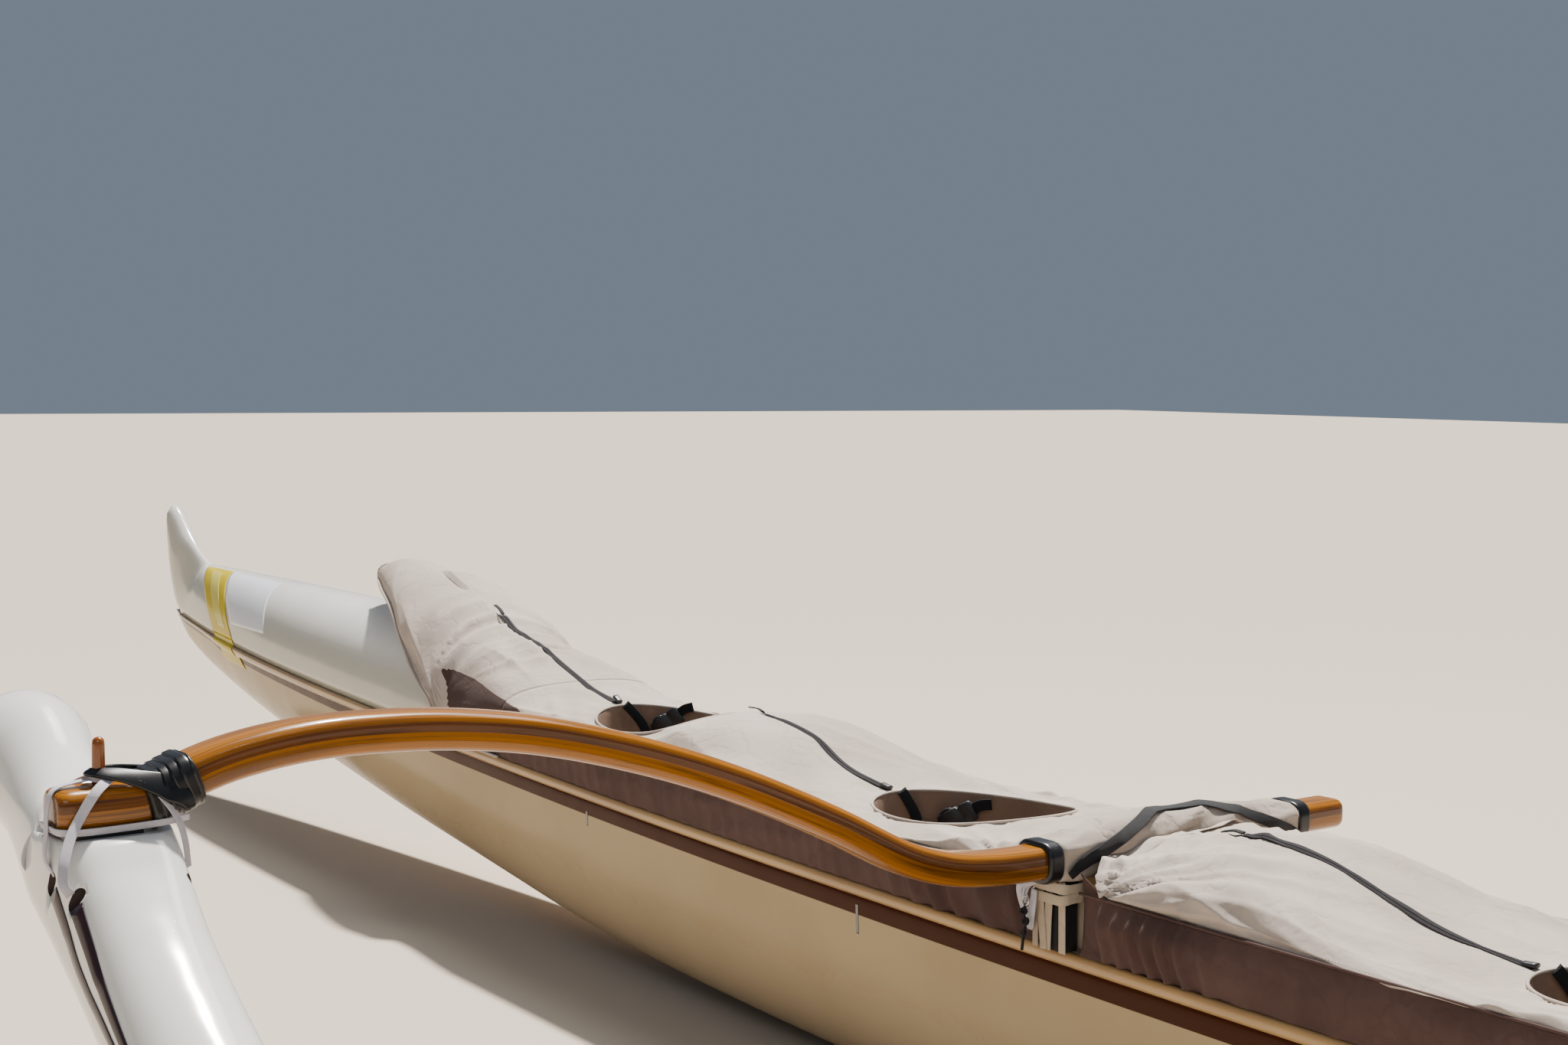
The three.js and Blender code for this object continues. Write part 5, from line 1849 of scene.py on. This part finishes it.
def column_turns(name, x, y, side, low, high):
    """The upright turns round both faces of a column, and the turns that girth them."""
    straps = []
    share = np.linspace(0, 1, 6)
    slack = 1 + .05 * np.sin(math.pi * share)
    for shift, width, lean, out in TURNS:
        for way in (-side, side):
            line_x = x + shift * slack + lean * (2 * share - 1)
            line = np.column_stack([line_x, y + way * out * slack, low + (high - low) * share])
            straps.append(band(f"{name}_turn", line, (0, way, 0), width, WEBBING_THICK))
    for level, tip, grow in GIRTHS:
        loop = round_box(.084 * grow, .06 * grow, .014, 9)
        loop = np.vstack([loop, loop[:1]])
        z = low + (high - low) * level + tip * np.sin(np.linspace(0, 2 * math.pi, len(loop)))
        facing = unit(np.column_stack([loop, np.zeros(len(loop))]))
        line = np.column_stack([x + loop[:, 0], y + loop[:, 1], z])
        straps.append(band(f"{name}_girth", line, facing, .019, WEBBING_THICK, .004))
    return joined(f"{name}_turns", straps)


def slack_loops(name, x, out, side, high):
    """Three loops of spare webbing that hang beside a column, each shorter than the last."""
    loops = []
    for k in range(3):
        reach, drop = x + .052 + .005 * k, .094 - .012 * k
        line = [
            (x + .026, out - side * .004, high - .004), (reach, out + side * .004 * k, high - .02),
            (reach + .004, out + side * .004, high - drop * .6), (reach - .01, out, high - drop),
            (x + .032, out + side * .006, high - drop * .72), (x + .028, out + side * .004, high - .022)]
        loops.append(band(f"{name}_loop", line, (0, side, .15), .015, .002, .005))
    return joined(f"{name}_loops", loops)


def lashing_column(name, x, side):
    """Turns of webbing between the boom and the gunwale. side is 1 to port and -1 to starboard."""
    y = HULL_Y + side * POST_OFFSET
    low, high = float(sheer(x)) + .001, float(smooth(IAKO_LINE, 1, side * POST_OFFSET)) - .0375
    section = round_box(.064, .04, .008, 4)
    rows = [np.column_stack([x + section[:, 0], y + section[:, 1], np.full(len(section), z)])
            for z in low + (high - low) * np.linspace(0, 1, 9)]
    core = dress(skin(f"{name}_core", rows, ring=True, caps=True), black_webbing, "post")
    dress(column_turns(name, x, y, side, low, high), tan_webbing, "post")
    out = y + side * .0315
    dress(slack_loops(name, x, out, side, high), pale_webbing, "post")
    ring_at = np.array([x + .04, out + side * .014, high - .044])
    dress(torus(f"{name}_ring", ring_at, (.1, side, .1), .0085, .0018), steel, "post")
    tail = ring_at + np.array(CORD_TAIL) * [1, side, 1]
    dress(tube(f"{name}_tail", tail, TAIL_THICK, .006, 8), black_webbing, "post")
    knots = [torus(f"{name}_knot", tail[i] + .002 * UP, (.4 * i - .9, side, .4), size, .0032, 8, 14)
             for i, size in KNOTS]
    dress(joined(f"{name}_knots", knots), black_webbing, "post")
    tail_lines[name] = along_curve(tail, .006)
    return core


steel, _, shader = new_material("steel", Metallic=1.0, Roughness=.3)
toned(shader, (.62, .61, .58, 1), (.4, .37, .33, 1), 60.0)
rubbed(shader, 30.0, .8, .25, .3)

for name, x in IAKOS:
    for hand, side in SIDES:
        core = lashing_column(f"lashing_{name}_{hand}", x, side)
        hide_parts(f"iako_{name}_post_{hand}")
print("lashing columns with cord tails:", len(tail_lines))

# %% The black strap over each sleeve
# Columns: distance to port of the hull's centreline, turn round the boom (0 aft, 90 on top)
OVER_STRAP = [
    (.29, -28), (.27, -8), (.225, 12), (.165, 32), (.1, 55), (.04, 78), (-.02, 88), (-.085, 74),
    (-.15, 50), (-.205, 28), (-.255, 8), (-.295, -8), (-.322, -24),
]
BOOM_LEVEL = .627  # height of the boom's middle over the hull
for name, x in IAKOS:
    surface = surface_of(bpy.data.objects[f"sleeve_{name}"])
    guide = along_curve([(y, turn, 0) for y, turn in OVER_STRAP], 2.0)
    line, facing = [], []
    for y, turn, _ in guide:
        out = np.array([-math.cos(math.radians(turn)), 0, math.sin(math.radians(turn))])
        at, _ = cast(surface, np.array([x, HULL_Y + y, BOOM_LEVEL]) + out * .3, -out)
        line.append(at + out * .003)
        facing.append(out)
    line, facing = np.array(line), np.array(facing)
    taut = line
    for _ in range(6):
        taut = (np.vstack([taut[:1], taut[:-1]]) + 2 * taut + np.vstack([taut[1:], taut[-1:]])) / 4
    spread = np.maximum(np.sum((line - taut) * facing, axis=1, keepdims=True), 0)
    strap = band(f"over_strap_{name}", taut + facing * (.001 + spread), facing, .024, .0026, .01)
    dress(strap, black_webbing, "webbing")
print("straps over the sleeves:", len(IAKOS))

# %% [markdown]
# ## The boom's foot on the float
# The foot stands on a rubber pad on the float's saddle. Flat pale webbing crosses over it, round a
# wooden peg and down into slots in the float's side. A strip of rubber is wound tightly where the
# boom bends and its tail is hooked over the peg. Both booms and both faces are alike, so
# the lashing is written once for the after face and mirrored.

# %% Slots and stripes in the float's side
# Columns: distance forward of the boom's middle, height
SLOTS = [(-.022, .829), (-.087, .819)]
SLOT_LEAN = np.array([-.35, 0, 1.0]) / math.hypot(.35, 1.0)
SLOT_ACROSS = np.array([SLOT_LEAN[2], 0, -SLOT_LEAN[0]])
SLOT_DEPTH = .03
# The slots' inner walls are coloured dark brown, painted shade for the inside of each slot.
slot_painted_shade = cloth(
    "slot_painted_shade", ((.045, .022, .02, 1), (.022, .012, .012, 1)), .55, 900.0, .0001, .0004)
float_surface = surface_of(float_skin)


cutters = []
outline = round_box(.02, .034, .0095, 6)
for _, x in IAKOS:
    for side in (1, -1):
        for at in pressed(float_surface, [(x + dx, z) for dx, z in SLOTS], FLOAT_Y, side, 0)[0]:
            flat = at + outline[:, :1] * SLOT_ACROSS + outline[:, 1:] * SLOT_LEAN
            rows = [flat + np.array([0, side * depth, 0]) for depth in (-SLOT_DEPTH, SLOT_DEPTH)]
            cutters.append(skin("slot_cutter", rows, ring=True, caps=True))
cutter = paint(joined("slot_cutter", cutters), slot_painted_shade)
cut = float_skin.modifiers.new("slots", "BOOLEAN")
cut.object = cutter
cut.operation = "DIFFERENCE"
cut.solver = "EXACT"
cut.material_mode = "TRANSFER"
apply_modifiers(float_skin)
bpy.data.objects.remove(cutter)
print("float with", len(cutters), "slots:", len(float_skin.data.polygons), "faces")

# %% Stripes on the float
STRIPE, STRIPE_THICK = .025, .0012
STRIPE_TAPER = ([0, .25, 1], [1, .8, .35])  # share of the length, share of the width
# Columns: distance forward of the boom's middle, height. Each stripe starts at its slot.
STRIPES = [
    [(-.03, .82), (-.043, .808), (-.075, .778), (-.109, .743), (-.15, .715), (-.191, .694),
     (-.25, .664), (-.33, .624)],
    [(-.093, .812), (-.105, .8), (-.144, .765), (-.172, .742), (-.202, .72), (-.258, .684),
     (-.31, .655), (-.37, .622)],
]
stripe_paint = gelcoat("stripe_paint", (.03, .013, .017, 1), (.018, .009, .016, 1),
                       Specular_IOR_Level=.2, Coat_Weight=0.0)
for (name, x), way in zip(IAKOS, (1, -1)):
    for number, stripe in enumerate(STRIPES):
        path = along_curve([(x + way * dx, z) for dx, z in stripe], .012)
        at, normals = pressed(float_surface, path, FLOAT_Y, 1, STRIPE_THICK / 2)
        made = band(f"float_stripe_{name}_{number}", at, normals, STRIPE, STRIPE_THICK, .01, STRIPE_TAPER)
        dress(made, stripe_paint, "hull_gelcoat")
print("stripes on the float:", len(IAKOS) * len(STRIPES))

# %% Webbing, rubber and peg at each foot
FOOT_TOP = .9515
PEG_Y = HULL_Y + 2.026


def mirrored(path, x, way):
    return np.array([(x + way * dx, y, z) for dx, y, z in path])


def away(line, hub, weights):
    """The way each point faces out from a hub, with some axes counting more."""
    return unit((line - np.array(hub)) * weights)


STRAP_THICK, STRAP_STEP = .0022, .005
# Each path lists places as distance forward of the boom's middle, y, height.
DIAGONAL = [
    (-.012, PEG_Y - .012, .958), (-.03, PEG_Y + .004, FOOT_TOP + .003), (-.0405, PEG_Y + .02, .944),
    (-.0425, PEG_Y + .04, .915), (-.054, 1.252, .893), (-.07, 1.2655, .866), (-.078, 1.2695, .84),
    (-.083, 1.262, .826)]
BELOW = [
    (-.045, 1.09, .902), (-.0425, 1.12, .898), (-.042, 1.18, .896), (-.0415, 1.235, .896),
    (-.036, 1.26, .898), (-.012, 1.2645, .899), (0, 1.2647, .899)]
INBOARD = [
    (-.01, PEG_Y - .016, .961), (-.03, 1.15, .958), (-.043, 1.128, .935), (-.047, 1.108, .905),
    (-.05, 1.098, .872), (-.05, 1.0935, .835)]
END = [
    (0.0, PEG_Y + .01, .9575), (-.003, 1.235, .955), (-.005, 1.2585, .948), (-.006, 1.2665, .925),
    (-.007, 1.2685, .89), (-.012, 1.2712, .86), (-.018, 1.262, .838)]
RUBBER_TAIL = [
    (.003, PEG_Y + .0135, .967), (-.012, PEG_Y + .004, .967), (-.024, 1.174, .963), (-.036, 1.146, .955),
    (-.044, 1.118, .944), (-.0475, 1.098, .93), (-.047, 1.088, .914)]
RUBBER_TAPER = ([0, .45, .75, 1], [.45, .75, 1.1, .45])
PEG_RING, PEG_RING_Z = .0125, .959
# Columns: height, radius
PEG = [
    (.9495, .0088), (.955, .009), (.985, .0086), (1.003, .0084), (1.0085, .0075), (1.0115, .005),
    (1.0125, .002)]
for (name, x), way in zip(IAKOS, (1, -1)):
    pieces = []
    for side in (way, -way):
        for path, width in ((DIAGONAL, .0135), (BELOW, .01), (INBOARD, .0125)):
            line = mirrored(path, x, side)
            facing = away(line, (x, 1.19, .915), [1.6, .7, 1])
            pieces.append(band("foot_webbing", line, facing, width, STRAP_THICK, STRAP_STEP))
    line = mirrored(END, x, way)
    facing = away(line, (x, 1.2, .9), [.3, 1, 1])
    pieces.append(band("foot_webbing", line, facing, .014, STRAP_THICK, STRAP_STEP))
    a = np.linspace(0, 2 * math.pi, 25)
    ring = np.column_stack([
        x + PEG_RING * np.cos(a), PEG_Y + PEG_RING * np.sin(a), PEG_RING_Z + .002 * np.sin(a)])
    facing = away(ring, (x, PEG_Y, PEG_RING_Z), 1)
    pieces.append(band("foot_webbing", ring, facing, .012, STRAP_THICK, .004))
    dress(joined(f"foot_webbing_{name}", pieces), pale_webbing, "webbing", f"float_lashing_{name}")
    a = ring_angles(20)
    rows = [np.column_stack([x + r * np.cos(a), PEG_Y + r * np.sin(a), np.full(20, z)]) for z, r in PEG]
    dress(skin(f"peg_{name}", rows, ring=True, caps=True), peg_wood, "wood", f"iako_{name}_peg")
    tails = []
    for side in (way, -way):
        line = mirrored(RUBBER_TAIL, x, side)
        facing = away(line, (x, 1.15, .915), [1.4, .4, 1])
        tails.append(band("rubber_tail", line, facing, .036, .006, .004, RUBBER_TAPER))
    dress(joined(f"rubber_tail_{name}", tails), rubber, "rubber")
print("feet lashed:", len(IAKOS))

# %% [markdown]
# ## Number plates on the bow and rub marks on the hull
# The plates on the bow are blank. Each is a thin patch, given by places along the hull and heights
# and pressed on from the side, so it bends over deck, moulding and hull as a sticker does.

# %% Plates and marks
FLAT_SHINE = {"Specular_IOR_Level": .1, "Coat_Weight": 0.0}
plate_yellow = gelcoat("plate_yellow", (.6, .46, .002, 1), (.52, .39, .002, 1), **FLAT_SHINE)
plate_white = gelcoat("plate_white", (.78, .79, .84, 1), (.66, .68, .75, 1), **FLAT_SHINE)
plate_pale = gelcoat("plate_pale", (.66, .58, .12, 1), (.6, .52, .09, 1), **FLAT_SHINE)
mark_grey = gelcoat("mark_grey", (.16, .15, .15, 1), (.1, .1, .1, 1))
PATCH_POINTS = 25
PATCH_THICK = .0006
# Columns: name, fore top, aft top, aft bottom, fore bottom, lift, finish
PATCHES = [
    ("plate_frame", (6.29, .7735), (6.042, .7745), (5.782, .566), (6.01, .573), .0006, plate_yellow),
    ("plate_face", (6.205, .762), (6.105, .763), (5.872, .6), (5.945, .603), .0013, plate_pale),
    ("plate_tail", (6.003, .574), (5.782, .567), (5.69, .482), (5.915, .486), .0012, plate_yellow),
    ("plate_white", (6.04, .774), (5.592, .7725), (5.476, .6245), (5.815, .6205), .0006, plate_white),
    ("hull_mark", (3.329, .42), (3.321, .42), (3.321, .384), (3.329, .384), .0006, mark_grey),
    ("hull_mark", (2.25, .415), (2.242, .415), (2.242, .354), (2.25, .354), .0006, mark_grey),
]


def patch(name, surface, corners, side, lift, material):
    """A thin sheet pressed on a surface."""
    fore_top, aft_top, aft_low, fore_low = np.array(corners, float)
    rows = []
    for s in np.linspace(0, 1, PATCH_POINTS):
        top, bottom = fore_top + (aft_top - fore_top) * s, fore_low + (aft_low - fore_low) * s
        share = np.linspace(0, 1, PATCH_POINTS)[:, None] ** 1.5
        rows.append(pressed(surface, top + (bottom - top) * share, HULL_Y, side, lift)[0])
    made = skin(name, rows, closed=False)
    turn_to(made, (0, side, 0))
    thicken(made, PATCH_THICK, 1.0)
    return dress(made, material, "hull_gelcoat")


bow = surface_of(hull, *(bpy.data.objects[name] for name in ("bow_deck_skin", "rail_port", "rail_starboard")))
for hand, side in SIDES:
    marks = 0
    for kind, *corners, lift, material in PATCHES:
        name = f"{kind}_{hand}"
        if kind == "hull_mark":
            name, marks = f"{name}_{marks}", marks + 1
        patch(name, bow, corners, side, lift, material)
print("plates and marks:", len(SIDES) * len(PATCHES))

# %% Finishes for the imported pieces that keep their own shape
# Columns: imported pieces, finish
KEPT = [([name for name, _ in SEATS], bench_paint), ([f"float_pad_{name}" for name, _ in IAKOS], rubber)]
for names, material in KEPT:
    for name in names:
        paint(bpy.data.objects[name], material)
print("packed pieces kept:", sum(len(names) for names, _ in KEPT))

# %% [markdown]
# ## Cloth, padding and cord
# The size that each top and end was cut to is worked out and printed: for a top its greatest width
# over the arch by its length along the ridge, with the holes and what is trimmed off left out of its area.
# A skirt is cut longer than the gunwale that it follows, because it is gathered into pleats.

# %% Cut sizes
END_SHARE, END_WIDEST = .7, .95  # a hood tapers to this share of a rectangle, at most this wide


def one_side(obj):
    """Area of one side of a thickened sheet."""
    return sum(p.area for p in obj.data.polygons) / 2


def greatest(lines):
    return max(float(lengths_along(line)[-1]) for line in lines)


def named(*names):
    return [bpy.data.objects[name] for name in names]


# Columns: the top, its first seat and the next, what else is sewn on it
SEWN = [
    ("front", (1, 2), ["hem_front_aft"]),
    ("middle", (3, 4), ["hem_middle_aft", "hem_middle_fore"]),
    ("rear", (5, 6), ["hem_rear_fore"]),
]
LONG_ROWS = ["seam_stitches", "zip_teeth", "zip_stitches", "hem_stitches"]  # these ride on the middle top
for name, seats, hems in SEWN:
    grid = grids[name]
    width, long = round(greatest(np.swapaxes(grid, 0, 1)[::8]), 2), round(greatest(grid[::8]), 2)
    area = min(one_side(tops[name]), width * long)
    zips = [f"seat_{seat}_zip{part}" for seat in seats for part in ("", "_pull", "_slider")]
    rolls = [f"seat_{seat}_roll" for seat in seats]
    rows_on = LONG_ROWS if name == "middle" else []
    pieces = named(*zips, *hems, *rolls, *rows_on, f"piping_{name}_port", f"piping_{name}_starboard")
    print(f"canvas {name}: cut {long} by {width} m, {area:.2f} m2")
for obj, deck_name in ((hood, "bow_deck_skin"), (apron, "stern_deck_skin")):
    xs = [corner[0] for corner in obj.bound_box]
    long, area = round(max(xs) - min(xs), 2), one_side(obj)
    width = round(min(area / long / END_SHARE, END_WIDEST), 2)
    print(f"{obj.name}: cut {long} by {width} m, {area:.2f} m2")
for name, seats, _ in SEWN:
    for seat in seats:
        made = bpy.data.objects[f"seat_{seat}_hole_collar"]

# %% Padding and cord tails
for name, line in tail_lines.items():
    path = [tuple(float(v) for v in point) for point in line]
    long = round(float(lengths_along(line)[-1]), 3)
print("sleeves are padded;", len(tail_lines), "cord tails of", long, "m")
